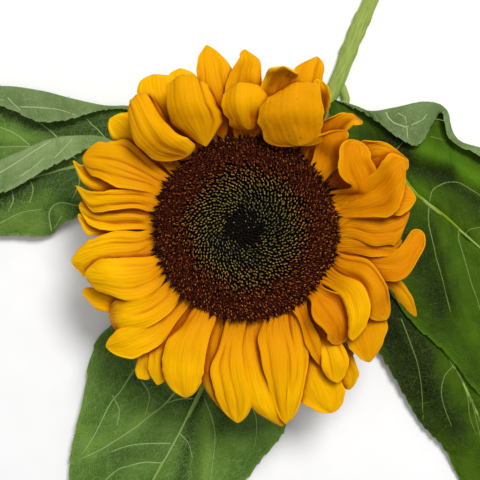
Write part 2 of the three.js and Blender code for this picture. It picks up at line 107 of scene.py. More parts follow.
def polar(bearing, radius):
    """The place in plan at a bearing in degrees and a radius."""
    turn = math.radians(bearing)
    return np.array([radius * math.cos(turn), radius * math.sin(turn)])


def wrinkle(x, y, seed):
    """Smooth noise from -1 to 1."""
    return noise.noise(Vector((x, y, NOISE_LAYER * seed)))


def linear(code):
    """An sRGB hex colour as linear red, green, blue and alpha."""
    parts = [int(code[i : i + 2], 16) / 255.0 for i in (1, 3, 5)]
    return tuple(c / 12.92 if c <= 0.04045 else ((c + 0.055) / 1.055) ** 2.4 for c in parts) + (1.0,)


# ---------------------------------------------------------------- materials


def add_node(tree, kind, inputs=None, stops=None, **settings):
    """Adds a node. A value in inputs is either a setting or the socket that is linked there."""
    made = tree.nodes.new(kind)
    for name, value in settings.items():
        setattr(made, name, value)
    for name, value in (inputs or {}).items():
        if isinstance(value, bpy.types.NodeSocket):
            tree.links.new(value, made.inputs[name])
        else:
            made.inputs[name].default_value = value
    for k, (place, colour) in enumerate(stops or []):
        element = made.color_ramp.elements[k] if k < 2 else made.color_ramp.elements.new(place)
        element.position = place
        element.color = colour
    return made


def new_material(name, **surface):
    """A material with one Principled shader, whose constant sockets are set from surface."""
    material = bpy.data.materials.new(name)
    material.use_nodes = True
    tree = material.node_tree
    shader = tree.nodes["Principled BSDF"]
    for socket, value in surface.items():
        shader.inputs[socket.replace("_", " ")].default_value = value
    return material, tree, shader


def petal_material(colours):
    """Ray petal: a soft satin skin with fine grooves from root to tip, a little light through it."""
    material, tree, shader = new_material(
        "petal_satin_skin",
        Roughness=0.6,
        Specular_IOR_Level=0.04,
        Subsurface_Weight=0.12,
        Subsurface_Radius=(1.0, 0.4, 0.02),
        Subsurface_Scale=0.0012,
    )
    place = add_node(tree, "ShaderNodeUVMap", uv_map="petal")
    parts = add_node(tree, "ShaderNodeSeparateXYZ", {"Vector": place.outputs["UV"]})
    along = parts.outputs["X"]
    across = parts.outputs["Y"]
    # the colour darkens towards the root, partly the petal's own deeper hue and partly painted shade where
    # roots lie under other petals
    stops = [(0.0, colours.petal_root_hue_and_shade), (0.16, colours.petal_deep), (0.45, colours.petal_mid)]
    stops.append((1.0, colours.petal_light))
    length_colour = add_node(tree, "ShaderNodeValToRGB", {"Fac": along}, stops=stops)
    # what each petal's attributes hold from 0 to 1: its warmth, partly its own warmer hue and partly painted
    # shade; the valleys of its folds, painted as shade; where other petals lie close over it, painted as
    # shade; and where it has begun to fade
    held = {
        name: add_node(tree, "ShaderNodeAttribute", attribute_name=name).outputs["Fac"]
        for name in ("tint", "fold", "covered", "stain")
    }
    # long streaks, about 1 mm wide
    stretch = add_node(
        tree, "ShaderNodeMapping", {"Vector": place.outputs["UV"], "Scale": (1.6, 9.0, 1.0)}
    )
    streaks = add_node(
        tree,
        "ShaderNodeTexNoise",
        {"Vector": stretch.outputs["Vector"], "Scale": 2.2, "Detail": 4.0, "Roughness": 0.6},
    )
    streak_share = add_node(
        tree,
        "ShaderNodeMapRange",
        {"Value": streaks.outputs["Fac"], "From Min": 0.42, "From Max": 0.72, "To Max": 0.75},
    )
    # the grooves: ten across the petal, a thin darker line in each, faint towards the tip
    turns = add_node(tree, "ShaderNodeMath", {0: across, 1: 10.0 * math.pi}, operation="MULTIPLY")
    bend = add_node(tree, "ShaderNodeMath", {0: streaks.outputs["Fac"], 1: 1.6}, operation="MULTIPLY")
    bent = add_node(tree, "ShaderNodeMath", {0: turns.outputs[0], 1: bend.outputs[0]}, operation="ADD")
    wave = add_node(tree, "ShaderNodeMath", {0: bent.outputs[0]}, operation="SINE")
    ridge = add_node(tree, "ShaderNodeMath", {0: wave.outputs[0]}, operation="ABSOLUTE")
    line = add_node(
        tree,
        "ShaderNodeMapRange",
        {"Value": ridge.outputs[0], "From Min": 0.0, "From Max": 0.24, "To Min": 1.5, "To Max": 0.0},
    )
    fade = add_node(
        tree,
        "ShaderNodeMapRange",
        {"Value": along, "From Min": 0.1, "From Max": 1.0, "To Min": 1.0, "To Max": 0.28},
    )
    line_share = line.outputs["Result"]
    for share in (fade.outputs["Result"], streak_share.outputs["Result"]):
        line_share = add_node(
            tree, "ShaderNodeMath", {0: line_share, 1: share}, operation="MULTIPLY"
        ).outputs[0]
    # brown patches of about 5 mm, and specks of 0.4 mm, only where the petal has begun to fade
    place_mm = add_node(tree, "ShaderNodeTexCoord")
    patches = add_node(
        tree,
        "ShaderNodeTexNoise",
        {"Vector": place_mm.outputs["Object"], "Scale": 120.0, "Detail": 4.0, "Roughness": 0.6},
    )
    patch_share = add_node(
        tree,
        "ShaderNodeMapRange",
        {"Value": patches.outputs["Fac"], "From Min": 0.42, "From Max": 0.72, "To Max": 0.75},
    )
    patch = add_node(
        tree, "ShaderNodeMath", {0: patch_share.outputs["Result"], 1: held["stain"]}, operation="MULTIPLY"
    )
    dots = add_node(
        tree,
        "ShaderNodeTexVoronoi",
        {"Vector": place_mm.outputs["Object"], "Scale": 380.0, "Randomness": 1.0},
    )
    dot = add_node(
        tree,
        "ShaderNodeMapRange",
        {"Value": dots.outputs["Distance"], "From Min": 0.08, "From Max": 0.16, "To Min": 2.2, "To Max": 0.0},
    )
    speck = add_node(
        tree,
        "ShaderNodeMath",
        {0: dot.outputs["Result"], 1: held["stain"]},
        operation="MULTIPLY",
        use_clamp=True,
    )
    # the layers over the length's colour: warmth, partly painted shade; streaks; the grooves' lines; painted
    # shade in the folds; painted shade under covering petals; and real stains and specks
    layers = [
        (held["tint"], colours.petal_warm_hue_and_shade),
        (streak_share.outputs["Result"], colours.petal_deep),
        (line_share, colours.petal_line),
        (held["fold"], colours.petal_fold_shade),
        (held["covered"], colours.petal_cover_shade),
        (patch.outputs[0], colours.petal_stain),
        (speck.outputs[0], colours.petal_stain),
    ]
    colour = length_colour.outputs["Color"]
    for share, over in layers:
        colour = add_node(
            tree, "ShaderNodeMix", {0: share, 6: colour, 7: over}, data_type="RGBA"
        ).outputs[2]
    tree.links.new(colour, shader.inputs["Base Color"])
    relief = add_node(
        tree,
        "ShaderNodeMath",
        {0: ridge.outputs[0], 1: streaks.outputs["Fac"], 2: 0.0},
        operation="MULTIPLY_ADD",
    )
    bump = add_node(
        tree, "ShaderNodeBump", {"Height": relief.outputs[0], "Strength": 0.55, "Distance": 0.0003}
    )
    tree.links.new(bump.outputs["Normal"], shader.inputs["Normal"])
    return material


def leaf_material(name, skin, patch, dark, bright, vein, gloss):
    """One face of a leaf: a softly mottled skin with a fine net of veins, and the painted shade and light
    that the attribute tone holds; the UV map flat is in 100 mm.
    """
    material, tree, shader = new_material(
        name,
        Roughness=gloss,
        Specular_IOR_Level=0.1,
        Subsurface_Weight=0.05,
        Subsurface_Radius=(0.4, 1.0, 0.1),
        Subsurface_Scale=0.001,
    )
    flat = add_node(tree, "ShaderNodeUVMap", uv_map="flat")
    # clouds of about 20 mm
    clouds = add_node(
        tree,
        "ShaderNodeTexNoise",
        {"Vector": flat.outputs["UV"], "Scale": 5.0, "Detail": 5.0, "Roughness": 0.6, "Distortion": 0.6},
    )
    # pale down, in specks of 0.4 mm
    down = add_node(
        tree,
        "ShaderNodeTexNoise",
        {"Vector": flat.outputs["UV"], "Scale": 190.0, "Detail": 3.0, "Roughness": 0.7},
    )
    # the small net between the veins, cells of 1.8 mm, drawn faint
    shifted = add_node(
        tree,
        "ShaderNodeMix",
        {0: 0.08, 6: flat.outputs["UV"], 7: clouds.outputs["Color"]},
        data_type="RGBA",
    )
    net = add_node(
        tree,
        "ShaderNodeTexVoronoi",
        {"Vector": shifted.outputs[2], "Scale": 55.0},
        feature="DISTANCE_TO_EDGE",
    )
    # the painted shade of the blade's hollows and shadows and the painted light of its crests, which the
    # attribute tone holds from 0 to 1: below 0.5 the dark colour is painted, above it the light one
    tone = add_node(tree, "ShaderNodeAttribute", attribute_name="tone")
    # each layer's pattern, from where to where in it, its share there, and its colour
    layers = [
        (clouds.outputs["Fac"], (0.4, 0.63), (0.0, 1.0), patch),
        (tone.outputs["Fac"], (0.0, 0.5), (0.95, 0.0), dark),
        (tone.outputs["Fac"], (0.5, 0.95), (0.0, 1.0), bright),
        (down.outputs["Fac"], (0.49, 0.8), (0.0, 0.45), vein),
        (net.outputs["Distance"], (0.0, 0.12), (0.2, 0.0), vein),
    ]
    colour = skin
    for pattern, (low, high), (start, end), over in layers:
        share = add_node(
            tree,
            "ShaderNodeMapRange",
            {"Value": pattern, "From Min": low, "From Max": high, "To Min": start, "To Max": end},
        ).outputs["Result"]
        colour = add_node(
            tree, "ShaderNodeMix", {0: share, 6: colour, 7: over}, data_type="RGBA"
        ).outputs[2]
    tree.links.new(colour, shader.inputs["Base Color"])
    # the net is sunk and the down stands up; share is the net's
    height = add_node(
        tree, "ShaderNodeMath", {0: share, 1: -4.0, 2: down.outputs["Fac"]}, operation="MULTIPLY_ADD"
    )
    bump = add_node(
        tree, "ShaderNodeBump", {"Height": height.outputs[0], "Strength": 0.6, "Distance": 0.0004}
    )
    tree.links.new(bump.outputs["Normal"], shader.inputs["Normal"])
    return material


def patterned(tree, shader, pattern, stops, strength, distance):
    """Colours a surface through stops by a pattern, and raises it by the same pattern."""
    tone = add_node(tree, "ShaderNodeValToRGB", {"Fac": pattern}, stops=stops)
    tree.links.new(tone.outputs["Color"], shader.inputs["Base Color"])
    relief = {"Height": pattern, "Strength": strength, "Distance": distance}
    bump = add_node(tree, "ShaderNodeBump", relief)
    tree.links.new(bump.outputs["Normal"], shader.inputs["Normal"])


def stem_material(name, light, dark):
    """Green stalk tissue: a matt skin with ridges along it; the attribute skin runs round and along."""
    material, tree, shader = new_material(
        name,
        Roughness=0.62,
        Specular_IOR_Level=0.1,
        Subsurface_Weight=0.1,
        Subsurface_Radius=(0.6, 1.0, 0.2),
        Subsurface_Scale=0.001,
    )
    skin = add_node(tree, "ShaderNodeAttribute", attribute_name="skin")
    stretch = add_node(
        tree, "ShaderNodeMapping", {"Vector": skin.outputs["Vector"], "Scale": (3.0, 3.0, 0.06)}
    )
    streaks = add_node(
        tree,
        "ShaderNodeTexNoise",
        {"Vector": stretch.outputs["Vector"], "Scale": 2.4, "Detail": 5.0, "Roughness": 0.6},
    )
    patterned(tree, shader, streaks.outputs["Fac"], [(0.35, dark), (0.65, light)], 0.6, 0.0004)
    return material


def floret_material(name, dark, light, roughness):
    """Dry floret tissue: matt, with a grain under half a millimetre from dark to light."""
    material, tree, shader = new_material(name, Roughness=roughness, Specular_IOR_Level=0.1)
    place = add_node(tree, "ShaderNodeTexCoord")
    inputs = {"Vector": place.outputs["Object"], "Scale": 900.0, "Detail": 2.0}
    grain = add_node(tree, "ShaderNodeTexNoise", inputs)
    patterned(tree, shader, grain.outputs["Fac"], [(0.4, dark), (0.66, light)], 0.4, 0.0002)
    return material


# ---------------------------------------------------------------- mesh helpers


def active():
    """The object that was made last."""
    return bpy.context.view_layer.objects.active


def edit_all():
    """Enters edit mode with the whole mesh selected."""
    bpy.ops.object.mode_set(mode="EDIT")
    bpy.ops.mesh.select_all(action="SELECT")


def end_edit():
    """Turns every face outwards and leaves edit mode."""
    bpy.ops.mesh.select_all(action="SELECT")
    bpy.ops.mesh.normals_make_consistent(inside=False)
    bpy.ops.object.mode_set(mode="OBJECT")


def start_alone():
    """Leaves edit mode and deselects everything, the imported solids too."""
    if bpy.context.object and bpy.context.object.mode != "OBJECT":
        bpy.ops.object.mode_set(mode="OBJECT")
    bpy.ops.object.select_all(action="DESELECT")


def finish_piece(obj, name, material, nodes=()):
    """Names a piece, gives it its material or materials and says what it is and what it stands for."""
    obj.name = name
    obj.data.name = name
    for one in material if isinstance(material, (list, tuple)) else [material]:
        obj.data.materials.append(one)
    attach(obj, BODY)
    if nodes:
        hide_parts(*nodes)
    return obj


def thickened(obj, thickness, second_below=0):
    """Gives a sheet its thickness, half to each side; second_below 1 puts its second material below."""
    thick = obj.modifiers.new("thickness", "SOLIDIFY")
    thick.thickness = thickness
    thick.offset = 0.0
    thick.material_offset = second_below
    bpy.context.view_layer.objects.active = obj
    bpy.ops.object.modifier_apply(modifier=thick.name)


def shape_grid(rows, cols, point_at):
    """A plane of rows by cols faces whose corners go where point_at(i, j) puts them, in mm."""
    start_alone()
    bpy.ops.mesh.primitive_grid_add(x_subdivisions=cols, y_subdivisions=rows, size=1.0)
    obj = active()
    for vertex in obj.data.vertices:
        i = round((vertex.co.y + 0.5) * rows)
        j = round((vertex.co.x + 0.5) * cols)
        vertex.co = HEAD + Vector(point_at(i, j)) * MM
    return obj


def shape_tube(centres, radius_at, sides):
    """A closed tube along the points centres, in mm. radius_at(k, angle) gives its radius there."""
    start_alone()
    bpy.ops.mesh.primitive_circle_add(vertices=sides, radius=1.0, fill_type="NGON")
    obj = active()
    edit_all()
    for _ in range(len(centres) - 1):
        bpy.ops.mesh.extrude_region_move(TRANSFORM_OT_translate={"value": (0.0, 0.0, 1.0)})
    end_edit()
    points = [Vector(c) for c in centres]
    last = len(points) - 1
    rings = []
    side = None
    run = 0.0
    for k, point in enumerate(points):
        along = (points[min(k + 1, last)] - points[max(k - 1, 0)]).normalized()
        side = Vector((0, 0, 1)).cross(along) if side is None else side - along * side.dot(along)
        if side.length < 0.01:  # the tube starts straight up or down
            side = Vector((1, 0, 0))
        side.normalize()
        if k:
            run += (point - points[k - 1]).length
        rings.append((point, side.copy(), along.cross(side), run))
    skin = obj.data.attributes.new("skin", "FLOAT_VECTOR", "POINT")
    for vertex in obj.data.vertices:
        k = round(vertex.co.z)
        angle = math.atan2(vertex.co.y, vertex.co.x)
        centre, side, across, run = rings[k]
        radius = radius_at(k, angle)
        place = centre + side * (radius * math.cos(angle)) + across * (radius * math.sin(angle))
        vertex.co = HEAD + place * MM
        skin.data[vertex.index].vector = (math.cos(angle), math.sin(angle), run)
    return obj


def spun(profile, steps):
    """A closed body of revolution about the head's axis, from a profile of radius and height in mm."""
    start_alone()
    bpy.ops.mesh.primitive_plane_add(size=1.0)
    obj = active()
    edit_all()
    bpy.ops.mesh.delete(type="ONLY_FACE")
    bpy.ops.mesh.select_all(action="SELECT")
    bpy.ops.mesh.delete(type="VERT")
    bpy.ops.object.mode_set(mode="OBJECT")
    points = [(r * MM, 0.0, z * MM) for r, z in profile]
    edges = [(k, k + 1) for k in range(len(points) - 1)]
    obj.data.from_pydata(points, edges, [])
    edit_all()
    bpy.ops.mesh.spin(steps=steps, angle=2 * math.pi, center=(0, 0, 0), axis=(0, 0, 1))
    bpy.ops.mesh.select_all(action="SELECT")
    bpy.ops.mesh.remove_doubles(threshold=0.01 * MM)
    end_edit()
    for vertex in obj.data.vertices:
        vertex.co = vertex.co + HEAD
    return obj


def sown(name, pattern, places, material):
    """One joined piece: the mesh pattern repeated at places, each a matrix from mm to metres."""
    count = len(pattern.vertices)
    base = np.empty(count * 3)
    pattern.vertices.foreach_get("co", base)
    base = np.concatenate([base.reshape(-1, 3), np.ones((count, 1))], axis=1)
    turned = [base @ np.array(place).T for place in places]
    points = np.concatenate(turned)[:, :3]
    faces = [tuple(face.vertices) for face in pattern.polygons]
    start_alone()
    mesh = bpy.data.meshes.new(name)
    every = [tuple(k * count + v for v in face) for k in range(len(places)) for face in faces]
    mesh.from_pydata(points.tolist(), [], every)
    obj = bpy.data.objects.new(name, mesh)
    bpy.context.scene.collection.objects.link(obj)
    return finish_piece(obj, name, material)


def standing(place, direction, spin, scale):
    """The matrix that puts a pattern, made upright in mm, at place in mm along direction."""
    turn = Vector((0, 0, 1)).rotation_difference(Vector(direction)).to_matrix().to_4x4()
    size = Matrix.Diagonal((*(Vector(scale) * MM), 1.0))
    return Matrix.Translation(HEAD + Vector(place) * MM) @ turn @ Matrix.Rotation(spin, 4, "Z") @ size


# ---------------------------------------------------------------- disc


# the disc's floor, from the middle out: radius and height
FLOOR_CURVE = [(0, 49.4), (8, 50.2), (16, 51.3), (24, 51.4), (31, 50.6), (35.2, 49.0), (36.4, 46.0)]
FLOOR_BOTTOM, FLOOR_FOOT, FLOOR_STEPS = 42.4, 36.2, 96  # its underside's height and radius, and its sides
# how far the florets lean out there, as a share of their length: radius and lean
LEAN_CURVE = [(0, -0.12), (12, -0.05), (24, 0.05), (31, 0.25), (36.4, 0.6)]
FLORET_SINK = 0.4  # how far a floret's foot lies under the floor


def disc_floor():
    """The floor of the disc that the florets stand on: dark, a little hollow in its middle."""
    obj = spun([(0, FLOOR_BOTTOM), (FLOOR_FOOT, FLOOR_BOTTOM)] + FLOOR_CURVE[::-1], FLOOR_STEPS)
    bpy.ops.object.shade_smooth()
    material = floret_material("floret_floor_dark", linear("#0A0604"), linear("#1A0D07"), 0.9)
    return finish_piece(obj, "disc_floor", material, ["disc"])


def floor_height(radius):
    """Height of the disc's floor at a radius."""
    radii, heights = zip(*FLOOR_CURVE)
    return float(np.interp(radius, radii, heights))


def floor_lean(radius):
    """How far the florets lean out at a radius, as a share of their length."""
    radii, leans = zip(*LEAN_CURVE)
    return float(np.interp(radius, radii, leans))


def extrude_top(obj, rise, radius):
    """Extrudes the open top ring of an upright pattern up by rise and draws it in or out to radius."""
    bpy.context.view_layer.objects.active = obj
    bpy.ops.object.mode_set(mode="OBJECT")
    top = max(v.co.z for v in obj.data.vertices)
    for vertex in obj.data.vertices:
        vertex.select = vertex.co.z > top - 1e-4
    for edge in obj.data.edges:
        edge.select = all(obj.data.vertices[v].select for v in edge.vertices)
    wide = max(math.hypot(v.co.x, v.co.y) for v in obj.data.vertices if v.select)
    bpy.ops.object.mode_set(mode="EDIT")
    bpy.ops.mesh.select_mode(type="EDGE")
    bpy.ops.mesh.extrude_region_move(TRANSFORM_OT_translate={"value": (0.0, 0.0, rise)})
    size = (radius / wide, radius / wide, 1.0)
    bpy.ops.transform.resize(value=size, center_override=(0, 0, top + rise))
    bpy.ops.object.mode_set(mode="OBJECT")


def close_top(obj):
    """Closes the open rings of an upright pattern."""
    bpy.context.view_layer.objects.active = obj
    edit_all()
    bpy.ops.mesh.fill_holes(sides=0)
    end_edit()


def upright(sides, rings):
    """A closed upright pattern in mm through rings of height and radius; a radius of 0 is a point."""
    start_alone()
    first, second = rings[0], rings[1]
    bpy.ops.mesh.primitive_cone_add(
        vertices=sides,
        radius1=first[1],
        radius2=second[1],
        depth=second[0] - first[0],
        end_fill_type="NOTHING",
        location=(0, 0, (first[0] + second[0]) / 2),
    )
    obj = active()
    bpy.ops.object.transform_apply(location=True, rotation=False, scale=False)
    for before, after in zip(rings[1:], rings[2:]):
        extrude_top(obj, after[0] - before[0], max(after[1], 0.02))
    close_top(obj)
    return obj


def bent(obj, amount):
    """Leans an upright pattern over by amount times the square of its height, towards +X."""
    for vertex in obj.data.vertices:
        vertex.co.x += amount * vertex.co.z**2
    return obj


def joined(objects):
    """One pattern from several."""
    start_alone()
    for obj in objects:
        obj.select_set(True)
    bpy.context.view_layer.objects.active = objects[0]
    if len(objects) > 1:
        bpy.ops.object.join()
    return objects[0]


def taken(obj):
    """The mesh of a pattern whose object is no longer wanted."""
    mesh = obj.data
    bpy.data.objects.remove(obj)
    return mesh


def lobes(count, length, width, out):
    """Pointed lobes in a ring that turn outwards from a floret's mouth at height 0."""
    made = []
    point = (length, length * 0.35)
    for k in range(count):
        start_alone()
        bpy.ops.mesh.primitive_plane_add(size=1.0)
        obj = active()
        # a plane's corners become the lobe's two roots and its two-sided point
        corners = [(0.0, -width / 2, 0.0), (point[0], -0.05, point[1])]
        corners += [(0.0, width / 2, 0.0), (point[0], 0.05, point[1])]
        for vertex, corner in zip(obj.data.vertices, corners):
            vertex.co = corner
            vertex.co.x += out
        edit_all()
        bpy.ops.mesh.subdivide(number_cuts=1)
        bpy.ops.object.mode_set(mode="OBJECT")
        for vertex in obj.data.vertices:
            vertex.co.z += 0.25 * math.sin(math.pi * (vertex.co.x - out) / length)
        obj.data.transform(Matrix.Rotation(2 * math.pi * k / count, 4, "Z"))
        made.append(obj)
    return joined(made)


def scale_pattern(length, width):
    """A pointed dry scale, four-sided and a little bent, standing up."""
    return bent(upright(4, [(0.0, width * 0.5), (length * 0.45, width * 0.55), (length, 0.0)]), 0.02)


# radius where each kind of floret begins and is in full number, as shares of the disc's
BUD_ZONE = 0.6
OPEN_ZONE = 0.86
CORE_ZONE = 0.17
MIDDLE = Vector((-1.6, 0.8, 0.0))  # how far the spiral's middle lies off the disc's
CLOSE_PACKING = 0.866  # a floret's own area as a share of the square of their distance
DISC_MARGIN = 0.6  # the outermost florets stand this far inside the disc's edge
RIM_COUNT = 230  # scales at the disc's edge
# the patterns from foot to top: height and radius of each ring
BUD_RINGS = [(0.0, 0.4), (1.1, 0.62), (2.0, 0.5), (2.5, 0.26)]
TIP_RINGS = [(2.3, 0.3), (2.55, 0.38), (3.0, 0.3), (3.2, 0.08)]
TUBE_RINGS = [(0.0, 0.4), (2.4, 0.42), (3.0, 0.5)]
ARM_RINGS = [(0.0, 0.12), (0.7, 0.2), (1.1, 0.2), (1.4, 0.06)]
LOBE_HEIGHT, ARM_HEIGHT = 2.9, 2.5  # where an open floret's lobes and style arms start
TIP_SPREAD = Matrix.Diagonal((1.5, 0.75, 1.0, 1.0))  # a bud's tip is a short ridge across it
# the dark and the light tone of each kind of bud tip
TIP_LOOKS = {
    "core": ("#14160F", "#30342A"),
    "grey": ("#54543C", "#8E8C68"),
    "olive": ("#766C2C", "#B0A254"),
    "ochre": ("#8E682E", "#C89C4A"),
    "rust": ("#80421A", "#BC7230"),
}
# and of each kind of open floret's style arms
ARM_LOOKS = {
    "rust": ("#8A3E10", "#CC7428"),
    "amber": ("#A65A18", "#DE963E"),
    "maroon": ("#54200E", "#8E421A"),
}


def floret_places(settings):
    """Every floret's radius and bearing by the golden turn, from the middle out."""
    count = int((DISC_RADIUS / settings.floret_space) ** 2 * math.pi / CLOSE_PACKING)
    chance = random.Random(settings.seed)
    for k in range(count):
        share = math.sqrt((k + 0.5) / count)
        radius = share * (DISC_RADIUS - DISC_MARGIN)
        bearing = k * GOLDEN_TURN
        wobble = 0.03 + 0.16 * share**2
        yield (
            share,
            radius + chance.uniform(-wobble, wobble),
            bearing + chance.uniform(-wobble, wobble) / max(radius, 1.0),
            chance,
        )


def floret_matrix(radius, bearing, chance, lean, scale):
    """Where a floret stands, how it leans out by the floor and by chance, and its size."""
    out = Vector((math.cos(bearing), math.sin(bearing), 0.0))
    direction = Vector((0, 0, 1)) + out * floor_lean(radius)
    direction += Vector((chance.uniform(-lean, lean), chance.uniform(-lean, lean), 0.0))
    place = out * radius + Vector((0, 0, floor_height(radius) - FLORET_SINK))
    place += MIDDLE * (1 - radius / DISC_RADIUS)
    return standing(place, direction, bearing + 0.7 + chance.uniform(-0.5, 0.5), scale)


def tip_kind(share, bearing, chance):
    """Which look a bud's tip has: a dark core, greenish buds, and rust towards the open ones."""
    patch = share < 0.42 and math.cos(bearing - math.radians(35)) > 0.55
    low_patch = 0.2 < share < 0.45 and math.cos(bearing - math.radians(-110)) > 0.6
    if chance.random() > float(smooth((share - CORE_ZONE) / 0.12)):
        return "grey" if chance.random() < (0.4 if patch else 0.08) else "core"
    if (patch or low_patch) and chance.random() < 0.75:
        return "grey"
    if chance.random() < float(smooth((share - 0.52) / 0.25)):
        return "rust"
    return "ochre" if chance.random() < float(smooth((share - 0.36) / 0.26)) else "olive"


def florets(settings):
    """Sows the buds of the middle, the open florets of the outer ring and the scales between."""
    buds, tubes, scales = [], [], []
    tips = {kind: [] for kind in TIP_LOOKS}
    arms = {kind: [] for kind in ARM_LOOKS}
    for share, radius, bearing, chance in floret_places(settings):
        opened = float(smooth((share - BUD_ZONE) / (OPEN_ZONE - BUD_ZONE)))
        # painted light: more of the lighter amber style arms on the disc's right side, the side taken as lit,
        # and more maroon ones opposite it
        painted_lit_side = 0.5 + 0.5 * math.cos(bearing - math.radians(-5))
        if chance.random() > opened:
            size = float(lerp(0.8, 1.05, share)) * chance.uniform(0.92, 1.08)
            tall = float(lerp(0.75, 1.25, share)) * chance.uniform(0.85, 1.12)
            matrix = floret_matrix(radius, bearing, chance, 0.16, (size, size, tall))
            buds.append(matrix)
            kind = tip_kind(share, bearing, chance)
            tips[kind].append(matrix @ TIP_SPREAD)
        else:
            size = chance.uniform(0.85, 1.05)
            tall = chance.uniform(0.85, 1.15)
            tubes.append(floret_matrix(radius, bearing, chance, 0.1, (size, size, tall)))
            weights = [0.45, 0.1 + 0.3 * painted_lit_side, 0.25 + 0.5 * share * (1 - painted_lit_side)]
            kind = chance.choices(["rust", "amber", "maroon"], weights)[0]
            arms[kind].append(floret_matrix(radius, bearing, chance, 0.16, (size, size, tall)))
            near = bearing + chance.uniform(-0.7, 0.7) / radius
            far = radius + chance.uniform(-0.6, 0.6)
            high = chance.uniform(0.7, 1.0)
            scales.append(floret_matrix(far, near, chance, 0.25, (1.0, 0.6, high)))
    bud = upright(5, BUD_RINGS)
    tip = upright(5, TIP_RINGS)
    tube = upright(5, TUBE_RINGS)
    tube = joined([tube, raised(lobes(5, 0.8, 0.55, 0.42), LOBE_HEIGHT)])
    pair = joined([arm(side) for side in (0.0, math.pi)])
    scale = scale_pattern(4.0, 0.85)
    patterns = [taken(pattern) for pattern in (bud, tip, tube, pair, scale)]
    bud_mesh, tip_mesh, tube_mesh, arm_mesh, scale_mesh = patterns
    sow_florets("disc_buds", bud_mesh, buds, "bud_dry_dark", ("#0D0B06", "#241C0E"), 0.8)
    for kind, places in tips.items():
        sow_florets(f"disc_bud_tips_{kind}", tip_mesh, places, f"bud_tip_{kind}", TIP_LOOKS[kind], 0.6)
    look = ("#2C0E06", "#5E2410")
    sow_florets("disc_open_florets", tube_mesh, tubes, "open_floret_maroon", look, 0.8)
    for kind, places in arms.items():
        sow_florets(f"disc_styles_{kind}", arm_mesh, places, f"style_{kind}", ARM_LOOKS[kind], 0.75)
    look = ("#1E0904", "#481A0A")
    sow_florets("disc_scales", scale_mesh, scales, "scale_dry_maroon", look, 0.8)


def sow_florets(name, pattern, places, finish, look, roughness):
    """One kind of floret part, joined, in a material of its own."""
    dark, light = (linear(code) for code in look)
    material = floret_material(finish, dark, light, roughness)
    return sown(name, pattern, places, material)


def raised(obj, height):
    """Moves an upright pattern up by height."""
    for vertex in obj.data.vertices:
        vertex.co.z += height
    return obj


def arm(side):
    """One of a floret's two curled style arms, a thin round strip."""
    obj = upright(3, ARM_RINGS)
    bent(obj, 0.22)
    obj.data.transform(Matrix.Translation((0.0, 0.0, ARM_HEIGHT)))
    obj.data.transform(Matrix.Rotation(side, 4, "Z"))
    return obj


def rim_scales(settings):
    """The dark pointed scales at the disc's edge, which lie out over the petals' roots."""
    chance = random.Random(settings.seed + 1)
    places = []
    for k in range(RIM_COUNT):
        bearing = 2 * math.pi * (k + chance.uniform(-0.4, 0.4)) / RIM_COUNT
        out = Vector((math.cos(bearing), math.sin(bearing), 0.0))
        radius = DISC_RADIUS - chance.uniform(1.6, 3.6) + 1.2 * max(0.0, -math.cos(bearing))
        direction = out * chance.uniform(0.45, 1.3) + Vector((0, 0, 1))
        direction += Vector((chance.uniform(-0.3, 0.3), chance.uniform(-0.3, 0.3), 0))
        place = out * radius + Vector((0, 0, chance.uniform(47.5, 49.5)))
        size = chance.uniform(0.8, 1.25)
        scale = (size * 0.6, size * 1.2, size * chance.uniform(0.8, 1.25))
        places.append(standing(place, direction, bearing, scale))
    mesh = taken(scale_pattern(5.0, 1.2))
    look = ("#180703", "#381408")
    sow_florets("disc_rim_scales", mesh, places, "rim_scale_maroon", look, 0.75)


# ---------------------------------------------------------------- ray petals


def petal(root, level, tip, point, across, folds=(2, 0.5), stain=0.0, hood=False):
    """A petal that leaves the ring at bearing root, level mm over the petal plane, and ends at tip.

    across is a list from root to tip of nine numbers: the left margin, the middle and the right margin
    in plan, two each, the middle's height over the petal plane, and how much higher the left and the
    right margin are. All in mm from the head's axis. point says how pointed the tip is: 1 is sharp, 0
    round, and less is broader still. folds is how many creases the petal has and how deep they are,
    stain how far it has faded, and hood says that it curls back over the disc."""
    return {
        "root": root,
        "level": level,
        "tip": tip,
        "point": point,
        "across": across,
        "folds": folds,
        "stain": stain,
        "hood": hood,
    }


